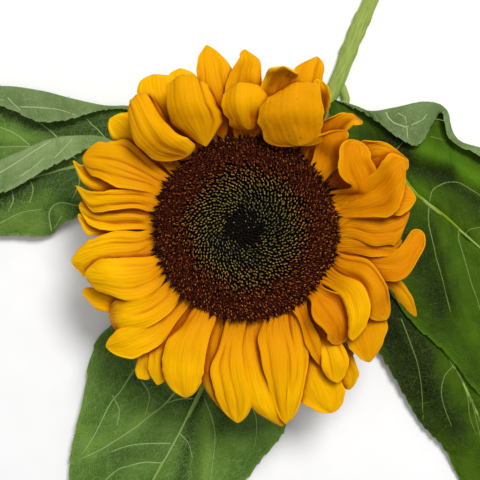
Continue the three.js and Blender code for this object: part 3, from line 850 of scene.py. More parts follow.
PETALS = [
    # along the top, from left to right
    petal(141, -1, (-56, 45, 1), 0.2, across=[
        (-43.5, 27.5, -41, 31.5, -36.5, 36, 2, 0, 0), (-55, 36.5, -51.5, 41, -45.5, 47, 3, -1, 0),
    ]),
    petal(138, 1, (-24, 29, 13), 0.1, folds=(4, 0.9), hood=True, across=[
        (-38, 30, -34.5, 35.5, -30.5, 40, 9, 0, 0), (-46, 41.5, -43.5, 47.5, -38, 52, 18, -1, 0),
        (-46.5, 44.5, -44, 50.5, -39, 52.5, 23, -2, -1), (-44, 34, -39, 39.5, -32, 42, 24, -5, -2),
        (-38, 27.5, -33, 32.5, -24, 34.5, 18, -4, 2),
    ]),
    petal(121, 4, (-25.5, 27.5, 3), 0.7, across=[
        (-23.5, 28.5, -22.5, 32, -20, 35, 6, 2, 2),
    ]),
    petal(124, -2, (-38.5, 62.5, 4), -0.5, across=[
        (-34, 37.5, -29.5, 40.5, -24, 43.5, 3, 0, 0), (-44, 53, -37.5, 55, -29, 57, 6, -1, 0),
    ]),
    petal(113, 2, (-16.5, 33, 12), 1.0, folds=(4, 0.8), stain=0.25, hood=True, across=[
        (-23, 41.5, -15.5, 43, -7.5, 41.5, 9, 0, 0), (-31, 53, -22.5, 55.5, -13.5, 52.5, 18, -1, -1),
        (-31, 56, -23, 59, -15, 55.5, 23, -2, -2), (-32, 48, -22, 50, -11.5, 49, 24, -5, -5),
        (-30, 41, -19, 42, -8.5, 43, 19, -4, -5),
    ]),
    petal(110, 0, (-27, 65, 5), -0.6, across=[
        (-25, 43.5, -19, 45, -13, 46, 3, 0, 0), (-31.5, 58, -25.5, 59, -19, 58, 6, 0, 0),
    ]),
    petal(102, -1, (-16.5, 75, 2), 0.75, folds=(2, 0.7), across=[
        (-16.5, 47.5, -10.5, 49.5, -4.5, 49, 3, 0, 0), (-20.5, 59.5, -14, 61.5, -5.5, 61, 5, 0, 1),
        (-19.5, 68, -15, 69, -7.5, 67.5, 4, 0, 0),
    ]),
    petal(91, 4, (0.5, 39.5, 14), -0.1, folds=(2, 0.7), stain=0.2, hood=True, across=[
        (-6, 41.5, 0, 43, 6, 42, 9, 0, 0), (-9.5, 51, -1, 54.5, 8, 51, 17, -1, -1),
        (-9, 52.5, -0.5, 57, 8, 51.5, 21, -2, -2), (-10.5, 48, -1.5, 50, 7.5, 48, 23, -5, -5),
        (-7.5, 43, -0.5, 44, 5, 44, 19, -3, -6),
    ]),
    petal(90, 1, (-1, 72, 9), 0.3, folds=(2, 0.7), across=[
        (-7, 47.5, -0.5, 49, 6, 48, 5, 0, 0), (-7.5, 61.5, -1, 64, 5.5, 61, 9, -1, 1),
        (-3.5, 68, 0.5, 67.5, 5, 66.5, 10, 0, 0),
    ]),
    petal(80, 0, (13.5, 62, 29.5), -0.4, folds=(1, 0.5), across=[
        (3, 44, 9, 46.5, 15, 45.5, 14, 1, -1), (5.5, 55.5, 11, 56.5, 17, 53.5, 20, 2, -2),
        (7.5, 59.5, 13, 60, 19.5, 60, 24, 2, -2),
    ]),
    petal(66, -1, (28.5, 69.5, 6), 0.4, folds=(2, 0.6), across=[
        (12.5, 45, 18.5, 47.5, 25, 47.5, 3, 0, 0), (17, 59.5, 24, 61, 30, 58.5, 7, 0, 1),
        (19.5, 65, 25, 65.5, 31, 63, 7, 0, 1),
    ]),
    petal(62, 3, (20.5, 33, 14), -0.4, folds=(5, 0.9), stain=0.8, hood=True, across=[
        (11, 39, 18, 41.5, 24.5, 41.5, 9, 0, 0), (6, 46.5, 16.5, 51.5, 28, 53, 19, -1, -1),
        (5.5, 48.5, 16.5, 55, 28, 56.5, 24, -2, -1), (4.5, 43, 15.5, 46.5, 29, 47, 25, -6, -5),
        (6, 38.5, 17.5, 40, 28.5, 40, 20, -4, -5),
    ]),
    petal(56, 1, (28.5, 58, 21), -0.3, folds=(1, 0.7), across=[
        (24.5, 39, 27, 40.5, 29.5, 41, 10, 0, 0), (25.5, 49.5, 29, 50.5, 32.5, 49.5, 18, 3, 2),
        (26, 56, 29, 56, 32, 54, 21, 2, 1),
    ]),
    # down the right side
    petal(49, 0, (46, 43, 11), 0.2, stain=0.3, across=[
        (26, 35, 29, 33.5, 32, 31, 4, 0, 1), (31.5, 43.5, 35, 41.5, 37.5, 38, 9, 0, 5),
        (38.5, 46.5, 41, 45, 42.5, 42, 12, 0, 5),
    ]),
    petal(38, 5, (39.5, 38.5, 15), 0.5, stain=0.2, across=[
        (27.5, 33, 31.5, 29.5, 37, 26.5, 8, 1, 2), (28, 37.5, 33.5, 36, 38.5, 32.5, 13, 1, 3),
    ]),
    petal(18, 5, (42, 35, 18), -0.1, folds=(2, 0.6), stain=0.15, across=[
        (37.5, 15.5, 39.5, 12, 41.5, 8, 8, 3, 0), (41.5, 16.5, 46.5, 14, 51, 11, 13, 5, -1),
        (37, 22, 45.5, 21, 52.5, 19.5, 17, 6, -2), (36, 29.5, 42.5, 29, 49, 28, 19, 4, -1),
    ]),
    petal(25, 0, (64, 27.5, 12), 0.6, folds=(3, 0.9), stain=0.3, across=[
        (41, 28.5, 43.5, 23, 46.5, 17.5, 6, 0, 0), (46.5, 35, 50.5, 29.5, 55, 21, 11, 1, 0),
        (55, 34, 57.5, 29.5, 61, 21.5, 14, -1, 0),
    ]),
    petal(13, 4, (61.5, 26, 20), 0.0, folds=(2, 0.5), stain=0.15, across=[
        (40, 14.5, 42.5, 9.5, 44, 4.5, 10, 0, 0), (50, 22.5, 54, 15, 56.5, 5.5, 17, 1, 0),
        (54, 26.5, 58, 20, 60, 9, 20, 2, 0),
    ]),
    petal(4, 3, (67, 12, 14), 0.7, folds=(2, 0.6), across=[
        (38.5, 12, 40, 7.5, 41, 3, 8, -1, -1), (50, 15.5, 51.5, 9.5, 53.5, 4, 13, -2, -1),
        (61, 20, 62, 13, 61.5, 5.5, 15, -2, -1),
    ]),
    petal(0, 2, (65, 6.5, 10), 0.1, folds=(2, 0.6), across=[
        (39, 6.5, 40, 1.5, 41.5, -3.5, 6, -2, -1), (51, 7, 51.5, 0, 52.5, -6.5, 10, -3, -1),
        (60.5, 8.5, 61.5, 2.5, 61, -5.5, 11, -2, -1),
    ]),
    petal(-9, 1, (62.5, -5, 6), 0.1, across=[
        (39, -1.5, 40, -5.5, 41.5, -9.5, 4, -1, -1), (50.5, -2, 51, -6, 52.5, -10.5, 7, -2, -1),
        (58, -3, 58.5, -7, 58, -10, 7, -2, -1),
    ]),
    petal(-15, 0, (71.5, -1.5, 4), 0.0, folds=(1, 0.5), across=[
        (40.5, -9, 41.5, -12.5, 42.5, -16.5, 3, -1, 0), (53, -9, 54, -14.5, 53.5, -20.5, 6, -2, -1),
        (60.5, -8, 63, -14, 63, -20, 8, -1, 1), (65, -3, 68, -7.5, 70.5, -10, 6, 0, 2),
    ]),
    petal(-22, -2, (71, -36.5, -10), 0.6, folds=(1, 0.8), across=[
        (46.5, -16, 46.5, -18, 45.5, -20.5, 0, 0, 0), (62.5, -20.5, 60.5, -22.5, 58, -24, 0, 0, 0),
        (68, -26.5, 66, -27.5, 63, -30, -4, -1, -1),
    ]),
    petal(-20, 2, (56, -36.5, 8), 0.2, folds=(4, 0.9), stain=0.3, across=[
        (39, -10.5, 38, -15, 36.5, -19.5, 6, 0, 0), (48.5, -12.5, 46.5, -17.5, 43.5, -23, 11, -1, 1),
        (56, -23, 52, -25.5, 46, -29, 12, -1, 1), (58, -30, 53.5, -31.5, 48, -34.5, 10, -1, 1),
    ]),
    # along the bottom, from right to left
    petal(-30, 5, (42.5, -44.5, 11), 0.2, folds=(1, 0.6), across=[
        (37, -18, 35, -20.5, 33, -23.5, 9, 1, 0), (45, -21.5, 41, -24, 37.5, -27.5, 14, 0, -1),
        (49, -31, 44.5, -33, 40, -36, 15, -1, -1),
    ]),
    petal(-40, 0, (50, -54, 3), 0.7, folds=(4, 0.7), stain=0.2, across=[
        (38.5, -21.5, 33.5, -28, 28, -34.5, 2, 0, 0), (44, -27, 40, -32.5, 34.5, -39.5, 4, 0, 0),
        (55, -32.5, 47.5, -37.5, 39, -44.5, 6, -1, -1), (57, -40.5, 50, -44.5, 42, -49.5, 5, -1, -1),
    ]),
    petal(-42, 3, (39, -46, 5), 0.1, folds=(2, 0.5), across=[
        (30.5, -23, 28, -26, 25.5, -29, 7, 1, 3), (40, -27.5, 34, -31.5, 26.5, -36.5, 9, 3, 5),
        (43, -34.5, 37.5, -37.5, 32, -42, 9, 1, 3),
    ]),
    petal(-52, -2, (43, -66.5, -7), 0.4, folds=(1, 0.8), across=[
        (34, -41, 31, -43, 27.5, -45.5, -2, 0, 0), (43.5, -52.5, 39.5, -55, 35.5, -58, -3, 1, 0),
        (46.5, -59.5, 42.5, -61.5, 38.5, -64, -5, 1, -1),
    ]),
    petal(-50, 0, (37, -62.5, 3), 0.25, folds=(2, 0.8), across=[
        (30, -33.5, 28, -35.5, 25.5, -37.5, 2, 0, 0), (37, -44, 33, -45.5, 29.5, -47.5, 5, 0, 0),
        (41.5, -53, 36, -53.5, 30, -55, 6, -1, 0),
    ]),
    petal(-62, -2, (35.5, -76, -5), 0.5, folds=(2, 0.5), across=[
        (26, -43.5, 22.5, -44.5, 19, -46, 0, 0, 0), (36.5, -57.5, 29, -60, 21.5, -62.5, 0, 0, 0),
        (41, -65.5, 32.5, -67.5, 22, -71, -2, 0, -1),
    ]),
    petal(-55, 4, (30.5, -56, 3), 0.5, folds=(1, 0.5), stain=0.2, across=[
        (24.5, -33.5, 22.5, -35, 20.5, -36, 5, 1, 1), (29, -44, 26.5, -45.5, 23.5, -46.5, 6, 1, 1),
    ]),
    petal(-61, 1, (18, -78, 1), 0.2, folds=(2, 0.9), across=[
        (22, -40, 19, -41.5, 16, -43.5, 4, 0, 0), (25, -52, 21, -52, 16.5, -53, 6, -1, 0),
        (22.5, -65.5, 20, -66, 16, -67, 5, -1, 0),
    ]),
    petal(-70, 3, (15.5, -79.5, 1), 0.2, folds=(3, 0.9), across=[
        (17, -39, 11, -40, 5, -42, 5, 0, -1), (20, -51, 12.5, -49.5, 5, -49, 7, 0, 1),
        (18.5, -67.5, 13.5, -65, 8.5, -63.5, 5, 0, 0),
    ]),
    petal(-85, 0, (14.5, -81, -2), 0.3, folds=(2, 0.6), across=[
        (6, -42.5, 1.5, -43.5, -2.5, -45, 2, 0, 0), (10.5, -55, 4, -55.5, -3, -57, 4, 0, 0),
        (18.5, -70.5, 10, -72.5, 1, -71.5, 2, 0, -1),
    ]),
    petal(-96, 2, (-4, -79.5, -1), 0.35, folds=(3, 0.7), across=[
        (-1.5, -43, -6, -43.5, -10.5, -45, 4, -1, 0), (-1.5, -55, -7.5, -55.5, -14.5, -56.5, 6, -1, 0),
        (2.5, -69.5, -5, -70, -12.5, -69.5, 3, 0, 0),
    ]),
    petal(-107, 0, (-10, -74.5, -4), 0.4, folds=(2, 0.6), across=[
        (-9, -41.5, -12.5, -42, -17, -44, 1, 0, 0), (-10, -54.5, -14.5, -55, -18.5, -56, 1, 0, 0),
        (-8.5, -67.5, -12.5, -67, -17, -66, -1, 0, 0),
    ]),
    petal(-118, 3, (-25, -68.5, 3), 0.15, folds=(2, 0.3), across=[
        (-12.5, -36, -19, -36, -25, -37.5, 5, -1, -1), (-16, -47, -24, -46.5, -33, -46.5, 8, -1, -1),
        (-17.5, -58.5, -25.5, -58, -35, -56.5, 7, -1, -1),
    ]),
    petal(-122, -1, (-37, -64, -2), 0.6, across=[
        (-25, -41.5, -27, -40, -29, -38.5, 1, 0, 0), (-33, -53, -36.5, -50.5, -39.5, -49.5, 1, 0, 0),
        (-32.5, -60.5, -36.5, -59, -41, -57, 0, 0, 0),
    ]),
    petal(-128, -2, (-45, -61.5, -4), 0.3, folds=(2, 0.6), across=[
        (-31, -42, -33.5, -40.5, -35.5, -38, -1, 0, 0), (-39.5, -53.5, -42, -52, -44.5, -50.5, -1, 0, 0),
        (-40, -61.5, -43, -59, -46, -56.5, -3, 0, 0),
    ]),
    # up the left side
    petal(-134, 0, (-57.5, -48.5, 1), 0.5, folds=(2, 0.5), across=[
        (-28.5, -38, -32, -34.5, -35, -31.5, 3, 0, 0), (-36, -47, -40.5, -42, -44, -37, 5, -1, 0),
        (-46, -52.5, -50, -46.5, -53, -41, 4, -1, 0),
    ]),
    petal(-141, 2, (-56.5, -36.5, -1), -0.3, folds=(1, 0.6), across=[
        (-31, -33.5, -34.5, -29.5, -37.5, -25.5, 5, 0, 0),
        (-40.5, -40, -44, -34.5, -45.5, -28.5, 7, -1, 0), (-49, -42.5, -51, -35.5, -51, -29, 5, -1, -1),
    ]),
    petal(-157, -2, (-68, -26.5, -4), 0.5, folds=(3, 0.7), across=[
        (-44, -29, -45, -24.5, -45.5, -21, -1, 0, 0), (-55.5, -34, -57, -29.5, -59, -25.5, -2, 0, 0),
        (-62, -33, -63.5, -29, -64.5, -24, -3, 0, 0),
    ]),
    petal(-159, 3, (-66, -18.5, 4), -0.2, folds=(3, 0.4), across=[
        (-36, -24.5, -39, -18, -38, -11, 6, -1, -1), (-47, -29, -49.5, -20, -49, -11.5, 9, -1, -1),
        (-59, -26.5, -60.5, -19, -58.5, -12.5, 7, -1, -1),
    ]),
    petal(-175, 0, (-72, -13, 0), 0.6, folds=(4, 0.5), across=[
        (-43.5, -14, -44.5, -7.5, -43.5, -1, 3, 0, 0), (-56.5, -16.5, -56.5, -8.5, -55, -1, 5, 0, 0),
        (-67.5, -19.5, -66, -11, -65, -5, 2, -3, 0),
    ]),
    petal(177, -2, (-69.5, 5, -2), 0.5, folds=(2, 0.6), across=[
        (-48, -3.5, -49, 0, -49.5, 3.5, -1, 0, 0), (-59, -2.5, -60.5, 1, -62, 4, 0, 0, 0),
        (-65.5, -2, -66, 1.5, -67.5, 6, -1, 0, 0),
    ]),
    petal(175, 1, (-69, 9, 0), 0.2, folds=(4, 1.0), across=[
        (-44.5, 0, -45, 4.5, -45, 9, 3, 0, 0), (-58.5, -0.5, -58.5, 5, -58, 10, 4, 0, 0),
        (-65, 2, -65.5, 6.5, -66, 11.5, 2, 0, 0),
    ]),
    petal(165, 3, (-69.5, 17.5, 4), 1.0, folds=(4, 1.0), across=[
        (-43.5, 8, -43, 11.5, -42.5, 15.5, 6, 0, 0), (-55, 7.5, -55, 11.5, -54.5, 15.5, 8, 0, -1),
        (-63.5, 7, -64, 11.5, -61.5, 15, 6, -1, 2),
    ]),
    petal(161, -1, (-71.5, 28, -1), 1.0, folds=(3, 0.7), across=[
        (-48, 13.5, -48, 18, -47, 22.5, 0, 0, 0), (-59.5, 14.5, -60.5, 20, -61, 25, 1, 0, 0),
        (-67, 18.5, -67, 22, -67, 26, 0, 0, 0),
    ]),
    petal(153, 2, (-67, 29, 3), -0.1, folds=(4, 0.9), across=[
        (-39.5, 14.5, -39.5, 21, -40, 28.5, 6, 0, 0), (-52, 17, -51.5, 26, -49.5, 36.5, 9, -1, -1),
        (-61.5, 21.5, -61, 28.5, -58.5, 35.5, 7, -1, -1),
    ]),
]


# how far each petal's colour leans to the warm one, partly its own warmer hue and partly painted shade, in
# the order of the list above
WARMTH_AND_SHADE = [
    0, 0.4, 0.15, 0.17, 0.38, 0.01, 0.39, 0.42, 0.42, 0, 0.5, 0.6,
    0, 0.65, 1, 1, 0.7, 1, 0.8, 1, 1, 1, 0.48, 0.81,
    0.15, 0.6, 0.95, 0.07, 0.17, 0.09, 0.7, 0.02, 0.27, 0.01, 0.13, 0,
    0.12, 0, 0, 0.12, 0, 0.33, 0, 0, 0, 0, 0.19, 0,
    0.5,
]


def bent_line(knots, table, x):
    """The table's values at every x, by a smooth curve through the knots; unlike through, uneven ones."""
    knots, table = np.asarray(knots, dtype=float), np.asarray(table, dtype=float)
    gaps = np.diff(knots)
    slopes = np.diff(table, axis=0) / gaps[:, None]
    before, after = gaps[:-1, None], gaps[1:, None]
    inner = (slopes[:-1] * after + slopes[1:] * before) / (before + after)
    tangents = np.concatenate([slopes[:1], inner, slopes[-1:]])
    i = np.clip(np.searchsorted(knots, x) - 1, 0, len(gaps) - 1)
    gap = gaps[i][:, None]
    u = ((x - knots[i]) / gaps[i])[:, None]
    ends = (2 * u**3 - 3 * u**2 + 1) * table[i] + (3 * u**2 - 2 * u**3) * table[i + 1]
    return ends + gap * ((u**3 - 2 * u**2 + u) * tangents[i] + (u**3 - u**2) * tangents[i + 1])


def petal_lines(petal):
    """The petal's middle line, and the offsets of its left and right margins from it, in mm."""
    root = polar(petal["root"], PETAL_ROOT)
    claw = polar(petal["root"] + 90, PETAL_CLAW)
    middles, lefts, rights = [(*root, petal["level"])], [(*claw, 0.5)], [(*-claw, 0.5)]
    for row in petal["across"]:
        left, middle, right = np.reshape(row[:6], (3, 2))
        height, left_up, right_up = row[6:]
        middles.append((*middle, height))
        lefts.append((*(left - middle), left_up))
        rights.append((*(right - middle), right_up))
    middles.append(petal["tip"])
    return np.array(middles), np.array(lefts), np.array(rights)


def petal_creases(petal, chance):
    """Creases that fan out from the root: place, drift, start, end, depth, width, and up or down."""
    count, depth = petal["folds"]
    made = []
    for k in range(count):
        at = (k + 0.5) / count * 1.7 - 0.85 + chance.uniform(-0.16, 0.16)
        low = chance.uniform(0.0, 0.25)
        high = chance.uniform(0.7, 1.1)
        size = depth * chance.uniform(0.6, 1.2)
        ridge = -1 if chance.random() < 0.7 else 1
        made.append((at, chance.uniform(-0.15, 0.15), low, high, size, chance.uniform(1.0, 2.2), ridge))
    return made


MARGIN_RAGGED, MARGIN_FRAYED = 0.09, 0.1  # how far a petal's margins wander, and fray in its outer half
PLEAT_DEPTH, PLEAT_COUNT = 0.25, 2.5  # the fine pleats across half a petal at its root
THIN_TIP = 0.01  # share of its width that a petal keeps at its very tip


def petal_flat(petal, rows, cols, seed):
    """The petal before it is creased: rows by cols points in mm, each row's half width and its place."""
    middles, lefts, rights = petal_lines(petal)
    knots = np.concatenate([[0.0], np.cumsum(np.linalg.norm(np.diff(middles, axis=0), axis=1))])
    length = knots[-1]
    s = np.sin(np.linspace(0, math.pi / 2, rows + 1))
    x = s * length
    centre = bent_line(knots, middles, x)
    last = knots[-2]
    left = bent_line(knots[:-1], lefts, np.minimum(x, last))
    right = bent_line(knots[:-1], rights, np.minimum(x, last))
    t = np.clip((x - last) / (length - last), 0, 1)
    point = petal["point"]
    rounded = np.maximum(0, 1 - t ** (2.1 + 5 * max(0.0, -point))) ** 0.62
    narrow = lerp(rounded, (1 - t) ** 0.9, max(0.0, point))
    narrow = np.maximum(narrow, THIN_TIP)[:, None]
    left, right = left * narrow, right * narrow
    for i in range(rows + 1):
        ragged = MARGIN_RAGGED * float(smooth(s[i] * 4))
        frayed = MARGIN_FRAYED * float(smooth((s[i] - 0.45) / 0.3))
        for margin, y in ((left, 0.3), (right, 4.3)):
            margin[i] *= 1 + ragged * wrinkle(s[i] * 5, y, seed) + frayed * wrinkle(s[i] * 15, y + 1, seed)
    flat = np.empty((rows + 1, cols + 1, 3))
    for j, w in enumerate(np.linspace(1, -1, cols + 1)):
        flat[:, j] = centre + (left - right) / 2 * w + (left + right) / 2 * w**2
    return flat, np.linalg.norm(left - right, axis=1) / 2, s


def petal_sheet(petal, rows, cols, seed):
    """The petal's middle surface as rows by cols points in mm, and how deep in a fold each one lies, which
    sets its painted crease shade.
    """
    flat, half, s = petal_flat(petal, rows, cols, seed)
    w = np.linspace(1, -1, cols + 1)
    along = np.gradient(flat, axis=0)
    side = -np.gradient(flat, axis=1)
    normal = np.cross(along, side)
    normal /= np.maximum(np.linalg.norm(normal, axis=2, keepdims=True), 1e-9)
    chance = random.Random(seed)
    creases = petal_creases(petal, chance)
    waves = [chance.uniform(0, 6.28) for _ in range(2)]
    rates = [chance.uniform(5, 9) for _ in range(2)]
    ruffle = chance.uniform(0.4, 0.9)
    curl = [chance.uniform(-0.9, 0.9) for _ in range(2)]
    dark_side = 1 if petal["hood"] else -1  # a hood shows its other face, where ridges are valleys
    points = flat.copy()
    # fold: the painted shade along each crease's valley on the face that shows, 0 to 1
    fold = np.zeros((rows + 1, cols + 1))
    for i in range(rows + 1):
        pleat = PLEAT_DEPTH * (1 - float(smooth(s[i] * 4)))
        flare = float(smooth(s[i] * 2.5)) * min(1.0, half[i] / 5.0)
        for j in range(cols + 1):
            offset = pleat * math.cos(2 * math.pi * PLEAT_COUNT * w[j])
            for at, drift, low, high, depth, width, ridge in creases:
                held = float(smooth((s[i] - low) / 0.15)) * float(smooth((high - s[i]) / 0.25))
                path = at * (0.75 + 0.3 * s[i]) + drift * (s[i] - 0.4) + 0.05 * wrinkle(s[i] * 4, at, seed)
                apart = abs(w[j] - path) * half[i]
                offset += ridge * depth * held * math.exp(-apart / width)
                if ridge == dark_side:
                    fold[i, j] += held * min(1.0, depth) * math.exp(-((apart / 0.5) ** 2))
            hand = 0 if w[j] < 0 else 1
            edge = abs(w[j])
            offset += edge**3 * flare * ruffle * math.sin(waves[hand] + rates[hand] * s[i])
            offset += edge**8 * flare * curl[hand]
            offset += 1.2 * flare * wrinkle(s[i] * 2.6, w[j] * 1.3, seed + 3)
            offset += 0.2 * flare * wrinkle(s[i] * 9, w[j] * 5, seed + 7)
            points[i, j] = flat[i, j] + normal[i, j] * offset
            fold[i, j] *= 0.75 + 0.5 * wrinkle(s[i] * 6, w[j] * 2, seed + 11)
    points[:, :, 2] += PETAL_PLANE
    return points, np.clip(fold, 0, 1)


def covered_shade_share(sheets):
    """For each sheet of points, how much of what lies round each point in plan is over it, 0 to 1; this is
    painted as shade under covering petals.
    """
    count = round(2 * COVER_REACH / COVER_CELL)
    heights = np.full((count, count), -1.0)
    for points in sheets:
        fine = np.concatenate([(points[:-1] + points[1:]) / 2, points[:-1]]).reshape(-1, 3)
        cells = ((fine[:, :2] + COVER_REACH) / COVER_CELL).astype(int)
        np.maximum.at(heights, (cells[:, 0], cells[:, 1]), fine[:, 2])
    shares = []
    for points in sheets:
        total = np.zeros(points.shape[:2])
        weight_sum = 0.0
        for ring, weight in COVER_RINGS:
            for k in range(8):
                shift = polar(45 * k + 20, ring)
                cells = ((points[:, :, :2] + shift + COVER_REACH) / COVER_CELL).astype(int)
                above = heights[cells[:, :, 0], cells[:, :, 1]] - points[:, :, 2]
                total += weight * np.clip((above - COVER_GAP) / COVER_DEPTH / ring**0.5, 0, 1)
                weight_sum += weight
        shares.append(smooth(1.8 * total / weight_sum))
    return shares


def petals(settings, colours):
    """Every ray petal, each a thin sheet with its own creases and the attributes its skin reads."""
    material = petal_material(colours)
    rows, cols = PETAL_ROWS, PETAL_COLS
    sheets = [petal_sheet(petal, rows, cols, k) for k, petal in enumerate(PETALS, start=1)]
    # painted shade: how close other petals lie over each place of a petal
    cover_shades = covered_shade_share([points for points, fold in sheets])
    for k, (petal, sheet, cover_shade) in enumerate(zip(PETALS, sheets, cover_shades), start=1):
        points, fold = sheet
        obj = shape_grid(rows, cols, lambda i, j: points[i, j])
        turn_uv(obj, "petal")
        place = np.linspace(0, 1, rows + 1)[:, None] * np.ones(cols + 1)
        stain = petal["stain"] * (0.25 + 0.75 * smooth((place - 0.62) / 0.3))
        # the warm tint, partly the petal's own hue and partly painted shade, is weaker at the margins and
        # towards the tip
        side = np.abs(np.linspace(-1, 1, cols + 1))[None, :] * np.ones((rows + 1, 1))
        tint = WARMTH_AND_SHADE[k - 1] * (WARM_SHADE_MIDDLE - WARM_SHADE_EDGE * side**5)
        tint = tint * (1 - WARM_SHADE_TIP * smooth((place - 0.7) / 0.3))
        values = {"tint": tint, "fold": fold, "stain": stain, "covered": cover_shade}
        for name, shares in values.items():
            layer = obj.data.attributes.new(name, "FLOAT", "POINT")
            layer.data.foreach_set("value", shares.ravel())
        thickened(obj, settings.petal_thickness)
        bpy.ops.object.shade_smooth_by_angle(angle=CRISP_ANGLE)
        finish_piece(obj, f"ray_petal_{k:02d}", material, [f"petal_{k:02d}"])


def turn_uv(obj, name):
    """Renames a grid's own UV map and swaps its axes, so that U runs from the root to the tip."""
    layer = obj.data.uv_layers[0]
    layer.name = name
    for loop in layer.data:
        loop.uv = (loop.uv.y, loop.uv.x)


# ---------------------------------------------------------------- receptacle, neck and stem

RECEPTACLE_FOOT = 22.0
RECEPTACLE_TOP = 41.7
NECK_RADIUS = 4.4
NECK_REACH = 19.0  # how far from the head's axis the neck lies down on the table
STEM_START = 57.0  # bearing of the stem as it leaves the neck
STEM_CENTRE = 3.25  # height of the stem's middle line
STEM_ROUTE = [(10.6, 16.3), (27, 41), (40, 65), (47.8, 85), (56.6, 105), (70, 137), (85, 171)]
STEM_ROUTE += [(102, 205), (118, 236)]
STEM_BROAD = 1.12  # the stem is this much broader than high
STEM_STEPS, NECK_STEPS, STALK_SIDES = 120, 24, 24
SCARS = [0.345, 0.4, 0.44, 0.62, 0.84]  # where side leaves were taken off
# the dish from its foot up: radius, and height over the foot
DISH_CURVE = [(0, 0), (4.6, 0), (6, 1.4), (8, 3.5), (13, 5.4), (20, 7), (27, 9.2), (33, 12)]
DISH_CURVE += [(37, 14.6), (39.2, 17)]
DISH_RIM, DISH_STEPS = 38.6, 72
RIPPLES, RIPPLE_HEIGHT = 14, 0.25  # round the dish
STEM_RIDGES, STEM_RIDGE_HEIGHT, NECK_RIDGE_HEIGHT = 8, 0.08, 0.1
SCAR_SWELL, SCAR_REACH = 0.6, 0.016  # how far the stem swells at a scar, and over what share of it
BRACT_ROWS, BRACT_COLS = 16, 6
BRACT_THICKNESS = 0.7
# each row of bracts: how many, root, height, length, width, droop, and its turn against the others
BRACT_RINGS = [
    (14, 28.0, 32.3, 29.0, 11.5, 1.0, 0.0),
    (14, 32.0, 36.0, 25.0, 11.0, 0.0, 0.5),
    (13, 35.0, 39.2, 20.0, 9.5, -1.0, 0.25),
]
# the bract that shows between the petals: bearing, root, height, length, width and droop
LONG_BRACT = (math.radians(-49.5), 33.0, 35.0, 36.5, 21.0, 5.0)
HAIR_ROOT = 0.15  # how deep a bristle's root lies in the skin
HAIR_CLEAR = 0.4  # a bristle that would end lower than this over the table is left out


def receptacle(materials):
    """The fleshy dish behind the disc."""
    profile = [(radius, RECEPTACLE_FOOT + height) for radius, height in DISH_CURVE]
    profile += [(DISH_RIM, RECEPTACLE_TOP), (0, RECEPTACLE_TOP)]
    obj = spun(profile, DISH_STEPS)
    skin = obj.data.attributes.new("skin", "FLOAT_VECTOR", "POINT")
    for vertex in obj.data.vertices:
        away = vertex.co - HEAD
        bearing = math.atan2(away.y, away.x)
        radius = math.hypot(away.x, away.y) / MM
        ripple = RIPPLE_HEIGHT * math.sin(RIPPLES * bearing) * float(smooth((radius - 8) / 20))
        vertex.co.z += ripple * MM if vertex.co.z < (RECEPTACLE_TOP - 1) * MM else 0.0
        skin.data[vertex.index].vector = (2 * math.cos(bearing), 2 * math.sin(bearing), radius)
    bpy.ops.object.shade_smooth()
    return finish_piece(obj, "receptacle_dish", materials["bract"], ["receptacle"])


def bract_points(rows, cols, bearing, root, height, length, width, droop, seed):
    """A green bract: broad near its root, drawn out to a long point, keeled and turned up at its sides."""
    out = np.array([math.cos(bearing), math.sin(bearing), 0.0])
    side = np.array([-out[1], out[0], 0.0])
    up = np.array([0.0, 0.0, 1.0])
    points = np.empty((rows + 1, cols + 1, 3))
    for i in range(rows + 1):
        s = i / rows
        broad = 0.75 + 0.45 * float(smooth(s / 0.35))
        pointed = 1 - float(smooth((s - 0.3) / 0.7)) ** 0.8
        half = width / 2 * broad * pointed + 0.15
        rise = 3.4 * math.sin(math.pi * s * 0.9) - droop * s * s
        rise += 0.5 * wrinkle(s * 3, 0.0, seed)
        centre = out * (root + length * s) + up * (height + rise)
        for j in range(cols + 1):
            w = 2 * j / cols - 1
            ruffle = 0.4 * wrinkle(s * 4, w, seed + 5) * s
            points[i, j] = centre + side * (half * w) + up * (0.35 * half * w * w + ruffle)
    return points


def bracts(settings, materials):
    """Three rows of bracts round the dish and one longer bract, each a blade of its own."""
    chance = random.Random(settings.seed + 4)
    made = []
    rows, cols = BRACT_ROWS, BRACT_COLS
    places = []
    for count, root, height, length, width, droop, shift in BRACT_RINGS:
        for k in range(count):
            bearing = 2 * math.pi * (k + shift + chance.uniform(-0.12, 0.12)) / count
            places.append((bearing, root, height, length * chance.uniform(0.82, 1.0), width, droop))
    places.append(LONG_BRACT)
    for bearing, root, height, length, width, droop in places:
        points = bract_points(rows, cols, bearing, root, height, length, width, droop, len(made))
        obj = shape_grid(rows, cols, lambda i, j: points[i, j])
        skin = obj.data.attributes.new("skin", "FLOAT_VECTOR", "POINT")
        for vertex in obj.data.vertices:
            away = (vertex.co - HEAD) / MM
            across = -away.x * math.sin(bearing) + away.y * math.cos(bearing)
            skin.data[vertex.index].vector = (across * 0.4, len(made), math.hypot(away.x, away.y))
        thickened(obj, BRACT_THICKNESS * MM)
        bpy.ops.object.shade_smooth()
        made.append(obj)
    return finish_piece(joined(made), "bracts", materials["bract"])


def stem_middle(t):
    """The stem's middle line at t, from 0 at the neck to 1 at its cut end."""
    x, y = through(STEM_ROUTE, t)
    return Vector((x, y, STEM_CENTRE))


def stem_radius(t, angle):
    """The stem's radius with its eight low ridges, and the swellings at its scars."""
    ridge = STEM_RIDGE_HEIGHT * math.cos(STEM_RIDGES * angle + 6 * t)
    swell = sum(SCAR_SWELL * math.exp(-(((t - scar) / SCAR_REACH) ** 2)) for scar in SCARS)
    level = math.cos(angle) ** 2
    return (STEM_RADIUS - 0.15 + ridge) * lerp(1.0, STEM_BROAD, level) + swell * level


